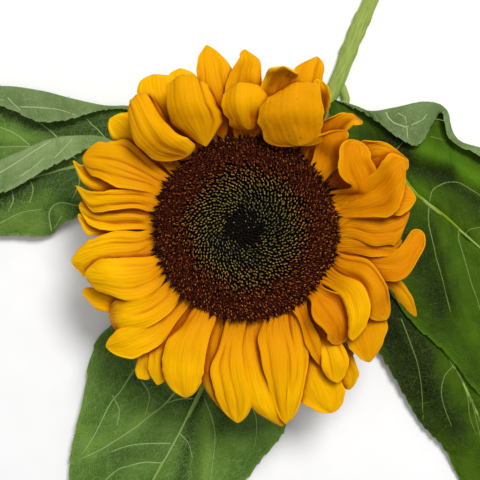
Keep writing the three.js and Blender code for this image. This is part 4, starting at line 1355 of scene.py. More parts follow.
def neck_middle(count):
    """The neck's middle line, from under the dish down and round on to the table."""
    away = polar(STEM_START, 1)
    straight = 1.5
    top = RECEPTACLE_FOOT - 0.3
    drop = top - straight - STEM_CENTRE
    centres = [(0, 0, top)]
    for i in range(count + 1):
        turn = math.pi / 2 * i / count
        out = (NECK_REACH - straight) * (1 - math.cos(turn))
        centres.append((away[0] * out, away[1] * out, top - straight - drop * math.sin(turn)))
    centres.append((away[0] * NECK_REACH, away[1] * NECK_REACH, STEM_CENTRE))
    return centres


def neck_radius(share):
    """The neck's radius, from 0 at the dish to 1 at the stem."""
    return lerp(NECK_RADIUS, STEM_RADIUS, float(smooth(share)))


def stem_and_neck(materials):
    """The stem with its scars, and the neck that bends from it up to the dish."""
    centres = [stem_middle(k / STEM_STEPS) for k in range(STEM_STEPS + 1)]
    stem = shape_tube(centres, lambda k, angle: stem_radius(k / STEM_STEPS, angle), STALK_SIDES)
    bpy.ops.object.shade_smooth_by_angle(angle=RIDGE_ANGLE)
    scars = [scar_mesh(node, k) for k, node in enumerate(SCARS)]
    stem = joined([stem, *scars])
    finish_piece(stem, "stem_stalk", materials["stem"], ["stem"])
    neck = neck_middle(NECK_STEPS)
    last = len(neck) - 1

    def radius_at(k, angle):
        return neck_radius(k / last) + NECK_RIDGE_HEIGHT * math.cos(STEM_RIDGES * angle)

    bend = shape_tube(neck, radius_at, STALK_SIDES)
    bpy.ops.object.shade_smooth_by_angle(angle=RIDGE_ANGLE)
    finish_piece(bend, "neck_bend", materials["stem"], ["neck"])


def scar_mesh(node, k):
    """A low oval nub with a sunken face where a leaf stalk was taken off."""
    start_alone()
    bpy.ops.mesh.primitive_uv_sphere_add(segments=16, ring_count=10, radius=2.0)
    obj = active()
    along = (stem_middle(node + 0.01) - stem_middle(node - 0.01)).normalized()
    side = Vector((-along.y, along.x, 0)) * (-1 if k % 2 else 1)
    across = along.cross(side)
    middle = stem_middle(node) + side * (STEM_RADIUS - 0.6)
    skin = obj.data.attributes.new("skin", "FLOAT_VECTOR", "POINT")
    for vertex in obj.data.vertices:
        x, y, z = vertex.co
        sunk = 0.5 * math.exp(-(x * x + y * y) / 0.8) if z > 0 else 0.0
        place = middle + along * (x * 0.95) + across * (y * 0.8) + side * (z * 0.9 - sunk)
        skin.data[vertex.index].vector = (x, y, node * 300 + x)
        vertex.co = HEAD + place * MM
    bpy.ops.object.shade_smooth()
    return obj


def hair_pattern():
    """A bristle 1 mm long and 0.14 mm thick at its root, thicker than life so that it shows."""
    start_alone()
    bpy.ops.mesh.primitive_cone_add(vertices=3, radius1=0.07, radius2=0.0, depth=1.0, location=(0, 0, 0.5))
    obj = active()
    bpy.ops.object.transform_apply(location=True, rotation=False, scale=False)
    return taken(obj)


def hairs(settings):
    """The short bristles on stem and neck."""
    chance = random.Random(settings.seed + 5)
    places = []
    for _ in range(settings.hair_count):
        t = chance.random()
        angle = chance.uniform(0, 2 * math.pi)
        along = (stem_middle(min(1, t + 0.005)) - stem_middle(max(0, t - 0.005))).normalized()
        side = Vector((0, 0, 1)).cross(along).normalized()
        out = side * math.cos(angle) + along.cross(side) * math.sin(angle)
        length = chance.uniform(0.5, 1.3)
        place = stem_middle(t) + out * (STEM_RADIUS - HAIR_ROOT)
        if place.z + out.z * length > HAIR_CLEAR:
            lean = out + along * chance.uniform(-0.2, 0.3)
            places.append(standing(place, lean, 0.0, (1.0, 1.0, length)))
    neck = neck_middle(NECK_STEPS)
    for _ in range(settings.hair_count // 5):
        k = chance.randrange(1, len(neck) - 1)
        t = chance.random()
        here, ahead = Vector(neck[k]), Vector(neck[k + 1])
        along = (ahead - here).normalized()
        side = Vector((0, 1, 0)).cross(along).normalized()
        angle = chance.uniform(0, 2 * math.pi)
        out = side * math.cos(angle) + along.cross(side) * math.sin(angle)
        length = chance.uniform(0.6, 1.5)
        place = here.lerp(ahead, t) + out * (neck_radius(k / (len(neck) - 1)) - HAIR_ROOT)
        if place.z + out.z * length > HAIR_CLEAR:
            places.append(standing(place, out, 0.0, (1.0, 1.0, length)))
    look = {"Roughness": 0.5, "Specular_IOR_Level": 0.4, "Base_Color": linear("#C4D09A")}
    material = new_material("bristle_pale", **look)[0]
    sown("stem_bristles", hair_pattern(), places, material)


# ---------------------------------------------------------------- leaves

# All places are in mm from the head's axis. rib: from the blade's foot to its tip. stalk: from the stem
# to that foot. length: of the rib. left and right: each half's edge from foot to tip and, where the
# half turns back over itself, the fold that it turns about. skin, vein and branch: keys of materials.
# veins: the face it lies on (face, the turned flap, or rib for the broad rib), radius and route.
# The painted tones: painted shade and light, mostly the shade of hollows and shadows and the light of
# crests, with a few real paler patches; how much lighter the blade is painted along a route, from -1 to
# 1, how far out, and the route. dents: how far the blade rises along a route, how far out, and the
# route. The flap's painted tone: how light the turned flap is painted, through the underside's painted
# shade and light colours.
# A route is x and y of each of its places in turn.
LEAF_RIGHT = {
    "flap_painted_tone": 0.22, "skin": "leaf_deep", "vein": "deep_vein", "branch": "deep_branch", "length": 140,
    "stalk": [(41.8, 66.5, 4), (43.8, 62, 5), (44.6, 57.5, 5.2), (41, 55.5, 5.6)],
    "rib": [
        (37.5, 56.5, 7), (50, 42, 10), (61, 30.5, 13), (69, 22, 14), (78.5, 12.5, 13), (87.5, 5.5, 12),
        (97, -2.5, 11), (112.5, -14.5, 7), (137.5, -27, 1),
    ],
    "left": {
        "fold": [
            (39, 57.5, 8), (48.5, 54, 11), (55, 51.5, 14), (65, 53, 16), (78, 55.5, 16), (87, 52.5, 14),
            (92.5, 39.5, 12), (114.5, 27.5, 8), (137.5, -26.5, 1),
        ],
        "edge": [
            (39.5, 57.5, 8.5), (48.5, 53, 13), (57, 47, 17), (66.5, 39.5, 19), (75, 37, 19),
            (84.5, 51, 17), (89.5, 39, 15), (112, 24, 10), (138, -26.5, 1),
        ],
    },
    "right": {
        "edge": [
            (37, 54, 6), (41.5, 35.5, 7), (47, 11, 7), (56, -12.5, 7), (71.5, -38.5, 7),
            (89.5, -55.5, 6), (108.5, -76, 5), (129.5, -65, 3), (137.5, -27.5, 1),
        ],
    },
    "veins": [
        ("rib", 1.0, [69.5, 22, 74.5, 15.5, 85.5, 7.5, 98, -3.5]),
        ("face", 0.45, [97, -2.5, 112, -14, 125, -22]),
        ("face", 0.42, [
            80.5, 12, 81, 15.5, 82.5, 18, 86, 20, 89.5, 21, 93.5, 21, 97, 19.5, 103, 16, 114, 9.5,
        ]),
        ("face", 0.42, [
            80.5, 11.5, 80, 6.5, 80.5, 1, 82.5, -7.5, 83.5, -12, 85.5, -18.5, 87.5, -25.5, 90.5, -37.5,
        ]),
        ("face", 0.42, [
            93.5, -0.5, 93.5, -4.5, 95.5, -11, 97.5, -17.5, 99.5, -24.5, 101.5, -29.5, 106, -44,
        ]),
        ("face", 0.36, [81, 41, 85.5, 40, 90.5, 38.5]),
        ("face", 0.4, [97, -2.5, 98.5, 0, 103, 1, 112, 2.5]),
        ("face", 0.4, [61, 31, 65.5, 35, 68.5, 38.5]),
        ("face", 0.4, [69.5, 22, 67, 6.5, 68.5, -9, 70, -22]),
        ("face", 0.4, [112, -14, 115.5, -31, 117, -48.5]),
        ("flap", 0.45, [
            60.5, 51, 61.5, 48.5, 64.5, 46, 67.5, 45, 69.5, 44.5, 73, 46, 76, 47.5, 78, 50,
        ]),
        ("flap", 0.38, [69.5, 44.5, 69.5, 41.5, 70, 39]),
        ("flap", 0.36, [65.5, 50.5, 68.5, 48.5, 69.5, 44.5]),
    ],
    "painted_tones": [
        (-1, 5, [64.5, 39.5, 68.5, 34.5, 73, 28, 82, 25.5, 87.5, 24]),
        (-0.7, 4, [87.5, 24, 95, 18.5, 103, 13]),
        (-0.8, 6.5, [67, 11, 69.5, -1, 74.5, -14, 81, -26.5, 85.5, -35.5]),
        (-0.7, 5, [61, 24, 64.5, 31, 61, 39.5, 52.5, 40.5]),
        (-0.45, 5, [82, 6.5, 83.5, -9, 86.5, -20, 90, -31]),
        (0.6, 4.5, [76.5, 35.5, 84.5, 31.5, 95, 25.5, 102.5, 21]),
        (0.35, 3, [71.5, 23, 76.5, 17.5, 82, 13]),
        (0.2, 5, [92.5, -9, 91, -20, 95, -33, 99, -44.5]),
        (0.3, 4, [85.5, 6.5, 87.5, -4.5]),
        (0.35, 5, [85.5, 48.5, 88, 42, 92.5, 35.5]),
        (0.3, 7, [46.5, 50.5, 53.5, 45, 61, 39.5]),
        (-0.4, 7, [95, 11, 101.5, 6.5]),
        (0.15, 5, [64, -16, 75, -32, 86, -45, 97, -56]),
    ],
    "dents": [
        (-2.2, 3.5, [69.5, 29.5, 81, 25.5, 90.5, 23, 104, 14.5, 116, 6.5]),
        (1.6, 4.5, [72, 33, 85.5, 31, 103, 23]),
        (-1.8, 4.0, [72, 8, 76.5, -4.5, 80, -17.5, 83.5, -31]),
        (1.5, 5.0, [85.5, -4.5, 90.5, -20, 95, -35.5]),
        (-1.5, 3.0, [97, -2.5, 105, -14]),
    ],
}

LEAF_RIGHT_LOW = {
    "skin": "leaf_deep", "vein": "deep_vein", "branch": "deep_branch", "length": 156,
    "stalk": [(35, 44, 3), (40, 24, 3.2)],
    "rib": [
        (44, -2, 4), (62.5, -20, 4.5), (77.5, -38, 4.5), (92, -59.5, 4), (101, -76.5, 3.5),
        (108.5, -95, 3), (115.5, -118.5, 2), (119.5, -137, 1),
    ],
    "left": {
        "edge": [
            (47, 1, 4), (80, -10, 4), (103.5, -24.5, 4), (120, -47, 4), (129, -66.5, 3.5),
            (133, -87.5, 3), (130, -112.5, 2), (120, -137, 1),
        ],
    },
    "right": {
        "edge": [
            (42, -3.5, 3), (46.5, -31.5, 3), (57, -50.5, 4.5), (67, -67.5, 5), (77.5, -85.5, 4.5),
            (88.5, -98, 4), (99.5, -117.5, 2), (119, -137, 1),
        ],
    },
    "veins": [
        ("face", 0.5, [62.5, -20, 77.5, -38, 92, -59.5, 101, -76.5, 108, -95, 115, -118, 118, -132]),
        ("face", 0.32, [69, -39.5, 73.5, -51.5, 76.5, -60.5, 78.5, -72.5, 79, -85]),
        ("face", 0.36, [94, -60, 89, -64.5, 87, -69.5, 87, -74.5, 89, -81.5, 91.5, -87.5]),
        ("face", 0.34, [95.5, -64.5, 99, -74.5, 100, -84, 103, -92]),
        ("face", 0.34, [101, -76.5, 104, -89.5, 107.5, -105]),
        ("face", 0.38, [77.5, -38, 93.5, -42.5, 109, -45]),
        ("face", 0.38, [92, -59.5, 106.5, -62, 120, -59]),
        ("face", 0.38, [108, -95, 118, -94, 127, -88.5]),
    ],
    "painted_tones": [
        (-1.3, 8, [64, -31.5, 67.5, -38, 71, -47, 77.5, -56]),
        (-0.8, 6, [68.5, -13.5, 72, -20, 71, -27]),
        (-0.8, 6, [75.5, -62.5, 82, -71.5, 86.5, -76, 93, -89.5]),
        (0.3, 5, [79.5, -31.5, 85.5, -39.5, 93, -49, 100, -60.5]),
        (-0.8, 8, [64, -44.5, 68.5, -58, 73, -71.5, 79.5, -89.5]),
    ],
    "dents": [
        (1.5, 4.0, [82, -58, 89, -76, 98, -94]),
        (-1.5, 3.0, [66.5, -49, 72.5, -62.5, 82, -80.5]),
    ],
}

LEAF_BOTTOM = {
    "skin": "leaf_top", "vein": "vein", "branch": "branch", "length": 112,
    "stalk": [(25.5, 31, 5), (22, 8, 6), (6, -24, 6.5)],
    "rib": [
        (-9, -46.5, 7), (-15, -60, 8), (-22, -75, 8.5), (-30, -90, 7.5), (-42, -112.5, 5),
        (-49.5, -127.5, 3), (-58, -144, 1),
    ],
    "left": {
        "edge": [
            (-3, -44.5, 6), (17, -68, 5), (17, -88.5, 5), (7, -102, 5), (-6.5, -118.5, 4),
            (-30, -135, 2), (-57, -144, 1),
        ],
    },
    "right": {
        "edge": [
            (-14, -41, 6), (-61.5, -43.5, 6), (-74, -81.5, 6), (-79, -109, 5), (-73, -131, 3),
            (-66, -139.5, 2), (-58, -144, 1),
        ],
    },
    "veins": [
        ("face", 0.62, [
            -15, -60, -21.5, -74, -26, -82.5, -30.5, -91.5, -37, -103.5, -42, -112, -49, -126.5, -55.5,
            -139,
        ]),
        ("face", 0.5, [
            -22.5, -63, -31.5, -72, -37, -78, -43, -82.5, -49, -87.5, -58.5, -94, -66, -98.5, -74.5,
            -102.5,
        ]),
        ("face", 0.46, [
            -43, -53.5, -50, -62.5, -55.5, -71, -60, -76.5, -63.5, -83, -68, -92, -74, -101,
        ]),
        ("face", 0.4, [-22.5, -75, -29.5, -75, -36, -77]),
        ("face", 0.4, [-33.5, -95, -44, -95, -52.5, -96, -60.5, -99]),
        ("face", 0.4, [-37.5, -104, -45, -103.5, -52, -105, -58.5, -107.5, -66, -115.5]),
        ("face", 0.4, [-18.5, -75, -15.5, -82.5, -14, -90, -14.5, -99, -16, -112]),
        ("face", 0.38, [0.5, -75.5, 4, -82.5, 4.5, -90, 3.5, -96.5]),
        ("face", 0.36, [-29.5, -90.5, -26, -95, -24, -102.5]),
        ("face", 0.36, [-46.5, -67, -43, -73.5, -45, -82.5]),
        ("face", 0.36, [-59.5, -73.5, -56.5, -80, -57.5, -87]),
        ("face", 0.4, [-15, -60, -29.5, -53.5, -43, -50, -55.5, -50]),
        ("face", 0.4, [-15, -60, -3, -67, 7, -76.5]),
        ("face", 0.4, [-42, -112, -56, -120, -66.5, -129]),
        ("face", 0.4, [-42, -112, -27.5, -116.5, -14, -120]),
        ("face", 0.4, [-49, -126.5, -38.5, -129, -31.5, -130]),
    ],
    "painted_tones": [
        (-1, 2.8, [-21.5, -72, -24, -80, -26, -93.5, -28.5, -107, -30.5, -115.5]),
        (0.55, 3.6, [-18, -79, -17.5, -89, -17.5, -100, -17.5, -113.5]),
        (-0.9, 3.2, [-48, -66, -39.5, -70.5, -33, -75, -22.5, -75.5, -15.5, -75.5, -9, -83]),
        (-0.3, 5, [-56, -100, -43, -93.5, -33, -82.5]),
        (-0.4, 4, [-60.5, -100, -49.5, -99, -38.5, -99]),
        (0.35, 3.2, [-65, -95, -54, -90, -43, -82]),
        (0.45, 3, [-70.5, -99, -72, -89]),
        (-0.4, 6, [-65, -53.5, -58.5, -58, -52, -63]),
        (0.3, 4, [-9.5, -93.5, -9, -104.5]),
        (0.25, 6, [1.5, -93.5, 9.5, -90, 12.5, -87]),
        (-0.5, 3.5, [-11, -86.5, -3, -88, 7, -87]),
    ],
    "dents": [
        (-2.6, 3.0, [-20.5, -72, -23, -89, -26, -111, -33, -127]),
        (2.4, 3.6, [-15.5, -74, -16, -93.5, -19, -112]),
        (-1.3, 2.5, [-8, -87, -8.5, -111]),
        (1.2, 6.0, [-38.5, -87, -32, -85.5]),
        (1.2, 6.0, [-60.5, -71, -65, -80]),
        (-1.0, 3.0, [-47.5, -91, -60.5, -95.5]),
    ],
}

LEAF_LEFT = {
    "flap_painted_tone": 0.5, "skin": "leaf_top", "vein": "vein", "branch": "branch", "length": 104,
    "stalk": [(16, 26.5, 6), (-10, 30, 7.5), (-34, 30, 10)],
    "rib": [
        (-51, 28, 12), (-64, 28, 12.5), (-75, 28, 12.5), (-86, 25, 12), (-95, 23, 11), (-110, 19, 8),
        (-130, 14.5, 4), (-150.5, 10.5, 1),
    ],
    "left": {
        "edge": [
            (-53.5, 19.5, 10), (-68.5, 8.5, 10), (-81, 3, 9), (-88.5, -2.5, 7), (-103, -2.5, 6),
            (-119, -2.5, 4), (-136.5, -1, 2), (-150.5, 9.5, 1),
        ],
    },
    "right": {
        "fold": [
            (-53.5, 35, 14), (-62.5, 40, 16), (-74.5, 40.5, 18), (-85.5, 39, 18), (-98, 34, 16),
            (-114, 28, 12), (-134.5, 21, 6), (-150.5, 11, 1),
        ],
        "edge": [
            (-54.5, 34, 15), (-65, 36.5, 18.5), (-75.5, 31.5, 20.5), (-87, 26, 20.5),
            (-100.5, 18.5, 18), (-114.5, 14, 13.5), (-134.5, 12, 7), (-151, 11, 1),
        ],
    },
    "veins": [
        ("face", 0.7, [-56, 28, -64.5, 28, -75.5, 28, -86.5, 25, -95, 23]),
        ("face", 0.5, [-95, 23, -109.5, 19, -128.5, 14, -143.5, 11]),
        ("face", 0.4, [-118, 1, -111, 2.5, -104.5, 5.5, -98, 8, -90.5, 9]),
        ("face", 0.42, [-87, -0.5, -87.5, 6.5, -85.5, 10.5, -81.5, 12, -74.5, 10.5]),
        ("face", 0.38, [-95.5, 22, -94, 17.5, -95.5, 11.5]),
        ("face", 0.38, [-104.5, 19.5, -103, 13, -105.5, 8]),
        ("face", 0.36, [-81.5, 6, -84, 2.5, -86, 0.5]),
        ("face", 0.38, [-118, 16.5, -122, 9.5, -127.5, 3.5]),
        ("face", 0.38, [-75.5, 28, -73.5, 21, -77, 13]),
        ("face", 0.38, [-64.5, 28, -65.5, 20, -69, 13]),
        ("flap", 0.5, [-115.5, 20, -107, 25, -100.5, 28.5, -94, 32.5, -87.5, 36.5, -84.5, 38.5]),
        ("flap", 0.36, [-98.5, 23, -93, 26.5, -87.5, 31]),
        ("flap", 0.36, [-83, 31, -78.5, 35.5, -75.5, 39]),
    ],
    "painted_tones": [
        (-1.2, 4.5, [-111, 11.5, -102.5, 14, -94, 17.5, -84, 22, -73.5, 25.5]),
        (0.4, 6, [-104.5, 6.5, -96.5, 11, -89.5, 15]),
        (0.3, 5, [-100, 1, -91, 2]),
        (-0.7, 5, [-80, 17.5, -76, 13, -73.5, 9.5]),
        (-0.5, 2.4, [-87, 8.5, -87, 3.5, -87.5, -2]),
        (0.3, 3, [-83.5, 8, -81.5, 6]),
    ],
    "dents": [
        (-1.8, 3.0, [-73.5, 11, -84, 10.5, -87, 3.5, -87.5, -2]),
        (1.6, 5.0, [-104.5, 11, -93.5, 13, -82.5, 17.5]),
        (1.2, 5.0, [-81.5, 8, -77, 8.5]),
    ],
}

LEAF_LEFT_HIGH = {
    "flap_painted_tone": 0.25, "skin": "leaf_top", "vein": "vein", "branch": "branch", "length": 130,
    "stalk": [(23.5, 44, 4), (0, 39, 4)],
    "rib": [
        (-32.5, 35, 5), (-47, 36, 6), (-65, 36, 6), (-83, 37, 6), (-96.5, 37, 6), (-110.5, 37, 5),
        (-134, 36.5, 3), (-160.5, 34.5, 1),
    ],
    "left": {
        "edge": [
            (-35, 29, 5), (-48.5, 21.5, 5), (-65.5, 17, 5), (-83, 13.5, 5), (-99, 10.5, 5),
            (-114.5, 11.5, 4), (-138.5, 18, 2), (-160.5, 33.5, 1),
        ],
    },
    "right": {
        "fold": [
            (-36.5, 49, 6), (-49.5, 54, 8), (-62.5, 54.5, 10), (-77, 57.5, 11), (-91, 61, 11),
            (-109, 63, 10), (-136.5, 60.5, 6), (-160.5, 35.5, 1),
        ],
        "edge": [
            (-36.5, 48.5, 7), (-49.5, 53, 10), (-64, 52.5, 12), (-77.5, 48.5, 13.5),
            (-91.5, 47.5, 13.5), (-109, 54.5, 12), (-134.5, 54, 7), (-161, 35.5, 1),
        ],
    },
    "veins": [
        ("face", 0.55, [-47, 36, -65, 36, -83, 37, -96.5, 37, -110, 37, -133.5, 36, -154.5, 34.5]),
        ("face", 0.42, [-96.5, 37.5, -101, 41.5, -105.5, 44, -111.5, 46, -121, 47]),
        ("face", 0.42, [-82, 39.5, -84, 41, -88.5, 45, -94, 49]),
        ("face", 0.4, [-61.5, 39.5, -63, 41, -66, 44.5, -69, 47, -71.5, 50]),
        ("face", 0.4, [-83, 37, -89.5, 29, -96.5, 21.5]),
        ("face", 0.4, [-110, 37, -118.5, 29, -126.5, 22]),
        ("face", 0.38, [-133.5, 36, -141, 41, -145.5, 46.5]),
        ("flap", 0.4, [-99.5, 54, -91, 53.5, -82, 52.5, -74, 50]),
        ("flap", 0.36, [-105, 58, -102.5, 55.5, -99.5, 52.5]),
        ("flap", 0.36, [-121.5, 57, -113, 57.5, -106.5, 57]),
    ],
    "painted_tones": [
        (-1, 4, [-60.5, 49.5, -67, 46, -75, 44.5, -84.5, 45.5, -94.5, 46, -104, 51.5, -111.5, 55]),
        (-0.7, 5, [-83, 42.5, -72, 40, -63.5, 42.5]),
        (0.5, 6, [-110.5, 43.5, -103.5, 41, -97, 39]),
    ],
    "dents": [
        (-1.6, 3.5, [-110, 50, -96.5, 45.5, -83, 45.5, -69.5, 49]),
        (1.3, 5.0, [-105.5, 40, -87.5, 41]),
    ],
}

LEAVES = {
    "leaf_right": LEAF_RIGHT,
    "leaf_right_low": LEAF_RIGHT_LOW,
    "leaf_bottom": LEAF_BOTTOM,
    "leaf_left": LEAF_LEFT,
    "leaf_left_high": LEAF_LEFT_HIGH,
}

FOLD_RISE = 2.0  # how far a leaf's folded part lies over the rest at the fold
REST_HEIGHT = 0.9  # the lowest that a blade's middle surface lies
ROWS, SIDE_COLS = 132, 36
MARGIN_START = 0.95  # share of a half blade's width where its paler margin starts
VEIN_REACH = 1.25  # a vein ends where no place of the blade's grid lies this near
BRANCH_RADIUS = 0.14
VEIN_LIFT = 0.2  # how far a vein's middle lies over the blade's middle surface
TOOTH_SPACE = 6.5  # along a margin, from one tooth to the next
RIPPLE_SMALL, RIPPLE_LARGE, RIPPLE_MARGIN = 0.3, 1.0, 0.9  # heights of a blade's ripples
FREE_STEPS, RIB_STEPS = 14, 40  # rings of a leaf's stalk before its blade, and under it
RIB_SHARE = 0.93  # how far along the blade its stalk runs
STALK_RADIUS, FOOT_RADIUS, TIP_RADIUS = 1.7, 1.45, 0.25  # a leaf stalk's at stem, blade and tip
LEAF_SEED, LEAF_SEED_STEP = 31, 4


def half_blade(leaf, half, s, seed):
    """Points of one half of a blade from the rib out, in mm, each one's distance, and where it folds."""
    rib = through(leaf["rib"], s)
    edge = through(half["edge"], s)
    teeth = (s * leaf["length"] / TOOTH_SPACE + 0.9 * wrinkle(s * 9, 1.0, seed)) % 1.0
    tooth = 0.75 + 0.6 * wrinkle(s * 13, 5.0, seed)
    ends = float(smooth(s / 0.1) * smooth((1 - s) / 0.08))
    if "fold" in half:
        fold = through(half["fold"], s)
        rise = np.array([0.0, 0.0, FOLD_RISE * ends])
        middle = lerp(rib, fold, 0.5) + np.array([0.0, 0.0, -1.0 * ends])
        line = [rib, middle, fold, fold + rise, edge]
    else:
        line = [rib, lerp(rib, edge, 0.5) + np.array([0.0, 0.0, 1.2 * ends]), edge]
    outward = line[-1] - line[-2]
    outward /= max(float(np.linalg.norm(outward)), 0.1)
    line[-1] = line[-1] + outward * ends * tooth * (teeth - 0.5)
    gaps = np.maximum(np.linalg.norm(np.diff(line, axis=0), axis=1), 0.05)
    knots = np.concatenate([[0.0], np.cumsum(gaps)])
    away = np.linspace(0, knots[-1], SIDE_COLS + 1)
    turned = knots[3] if "fold" in half else knots[-1] + 1
    return bent_line(knots, line, away), away, away >= turned


def far_from(points, route):
    """Distance in plan of every point of a grid from a smooth line through the route's places."""
    route = np.reshape(route, (-1, 2))
    line = np.array([through(route, k / 40) for k in range(41)])
    apart = points[:, :, None, :2] - line[None, None, :, :]
    return np.sqrt((apart**2).sum(axis=3)).min(axis=2)


def leaf_surface(leaf, seed):
    """The blade's middle surface as a grid of points, its flat places in 100 mm, turned part and painted
    tone.
    """
    total = 2 * SIDE_COLS
    points = np.empty((ROWS + 1, total + 1, 3))
    flat = np.empty((ROWS + 1, total + 1, 2))
    turned = np.zeros((ROWS + 1, total + 1), dtype=bool)
    length = leaf["length"]
    for i in range(ROWS + 1):
        s = i / ROWS
        for name, sign in (("left", 1), ("right", -1)):
            line, away, over = half_blade(leaf, leaf[name], s, seed + sign)
            for j in range(SIDE_COLS + 1):
                column = SIDE_COLS + sign * j
                points[i, column] = line[j]
                flat[i, column] = (s * length / 100.0, sign * away[j] / 100.0)
                turned[i, column] = over[j]
    lift = np.zeros((ROWS + 1, total + 1))
    for depth, width, route in leaf["dents"]:
        lift += depth * np.exp(-((far_from(points, route) / width) ** 2)) * ~turned
    for layer, radius, route in leaf["veins"]:
        same = turned if layer == "flap" else ~turned
        lift -= 1.1 * radius * np.exp(-((far_from(points, route) / 1.5) ** 2)) * same
    for i in range(ROWS + 1):
        for j in range(total + 1):
            u, v = flat[i, j] * 100.0
            ripple = RIPPLE_SMALL * wrinkle(u / 3.5, v / 3.5, seed)
            lift[i, j] += ripple + RIPPLE_LARGE * wrinkle(u / 17.0, v / 17.0, seed + 9)
            edge = abs(j / SIDE_COLS - 1) ** 4
            lift[i, j] += RIPPLE_MARGIN * edge * wrinkle(u / 8.0, 3.0 * v, seed + 17)
    points[:, :, 2] = np.maximum(points[:, :, 2] + lift, REST_HEIGHT)
    # the painted tone: painted shade below 0.5 and painted light above it, from the painted tones and the
    # flap's tone, and a paler margin
    tone = np.full((ROWS + 1, total + 1), 0.5)
    for amount, width, route in leaf["painted_tones"]:
        tone += 0.5 * amount * np.exp(-((far_from(points, route) / width) ** 2)) * ~turned
    tone = np.where(turned, leaf.get("flap_painted_tone", 0.5), tone)
    out = np.abs(np.arange(total + 1) / SIDE_COLS - 1)
    tone += 0.2 * smooth((out - MARGIN_START) / (1 - MARGIN_START))
    return points, flat, turned, np.clip(tone, 0, 1)


def leaf_blade(name, leaf, points, flat, tone, settings, materials):
    """The blade: a thin two-faced sheet, green above and paler below."""
    total = 2 * SIDE_COLS
    obj = shape_grid(ROWS, total, lambda i, j: points[i, total - j])
    mesh = obj.data
    layer = mesh.uv_layers[0]
    layer.name = "flat"
    for loop in layer.data:
        loop.uv = flat[round(loop.uv.y * ROWS), total - round(loop.uv.x * total)]
    shade = mesh.attributes.new("tone", "FLOAT", "POINT")
    shade.data.foreach_set("value", tone[:, ::-1].ravel())
    mesh.materials.append(materials[leaf["skin"]])
    mesh.materials.append(materials["leaf_under"])
    thickened(obj, settings.leaf_thickness, second_below=1)
    bpy.ops.object.shade_smooth_by_angle(angle=CRISP_ANGLE)
    return finish_piece(obj, f"{name}_blade", [], [name])


def vein_line(route, places, count):
    """A smooth line through the route on the upper face of the blade, as far as the blade reaches."""
    route = np.reshape(route, (-1, 2))
    line = []
    for k in range(count):
        x, y = through(route, k / (count - 1))
        apart = np.hypot(places[:, 0] - x, places[:, 1] - y)
        near = np.argsort(apart)[:4]
        if apart[near[0]] > VEIN_REACH:
            break
        weights = 1 / (apart[near] + 0.2)
        height = float((places[near, 2] * weights).sum() / weights.sum())
        line.append(np.array([x, y, height + VEIN_LIFT]))
    return line


def leaf_veins(name, leaf, points, turned, materials, seed):
    """The rib, the side veins and their small branches, half sunk in the blade, joined into one piece."""
    chance = random.Random(seed)
    layers = {"face": points[~turned], "flap": points[turned]}
    made = []
    for layer, radius, route in leaf["veins"]:
        places = layers["flap" if layer == "flap" else "face"]
        look = {"flap": "flap_vein", "rib": "rib"}.get(layer, leaf["vein"])
        line = vein_line(route, places, 32)
        last = len(line) - 1
        if last < 4:
            continue
        thin = max(BRANCH_RADIUS, radius * 0.55)
        made.append(shape_tube(line, lambda k, angle: lerp(radius, thin, k / last), 6))
        made[-1].data.materials.append(materials[look])
        hand = 1
        for k in range(3, last - 2, 5):
            ahead = (line[k + 1] - line[k])[:2]
            heading = math.atan2(ahead[1], ahead[0]) + hand * chance.uniform(0.7, 1.05)
            hand = -hand
            reach = chance.uniform(6.0, 12.0)
            start = line[k][:2]
            bow = -hand * chance.uniform(-0.1, 0.7)
            branch = []
            for n in range(4):
                out = reach * n / 3
                turn = heading + bow * n / 3
                branch.append(start + out * np.array([math.cos(turn), math.sin(turn)]))
            small = vein_line(branch, places, 8)
            if len(small) == 8:
                made.append(shape_tube(small, lambda k, angle: BRANCH_RADIUS, 5))
                look = "flap_branch" if layer == "flap" else leaf["branch"]
                made[-1].data.materials.append(materials[look])
    finish_piece(joined(made), f"{name}_veins", [])
    bpy.ops.object.shade_smooth()


def leaf_stalk(name, leaf, materials):
    """The stalk, which runs on under the blade as its rib and thins to nothing near the tip."""
    route = leaf["stalk"] + [leaf["rib"][0]]
    centres = [through(route, k / FREE_STEPS) for k in range(FREE_STEPS)]
    centres += [through(leaf["rib"], RIB_SHARE * k / RIB_STEPS) for k in range(RIB_STEPS + 1)]
    radii = [lerp(STALK_RADIUS, FOOT_RADIUS, k / FREE_STEPS) for k in range(FREE_STEPS)]
    radii += [lerp(FOOT_RADIUS, TIP_RADIUS, k / RIB_STEPS) for k in range(RIB_STEPS + 1)]
    sunk = [(c[0], c[1], max(c[2] - 0.35 - r, r + 0.15)) for c, r in zip(centres, radii)]

    def radius_at(k, angle):
        return radii[k] * (1 + 0.06 * math.cos(5 * angle))

    obj = shape_tube(sunk, radius_at, 12)
    bpy.ops.object.shade_smooth_by_angle(angle=math.radians(50))
    return finish_piece(obj, f"{name}_stalk", materials["stalk"])


# ---------------------------------------------------------------- stage


TABLE_SIZE = 6.0  # in metres, as are the places and sizes of the lights
# each light: its name, its place from the head, its size and the setting with its power
LIGHTS = [
    ("key_softbox", (0.24, 0.4, 0.95), 0.36, "key_power"),
    ("fill_softbox", (-0.6, -0.3, 0.9), 0.9, "fill_power"),
    ("top_softbox", (0.0, 0.0, 1.6), 1.4, "top_power"),
]
CAMERA_PLACE = (-2.87, -4.51, 495.0)  # in mm from the head
CAMERA_LENS, CAMERA_SENSOR = 82.3, 36.0
CAMERA_NEAR = 0.01


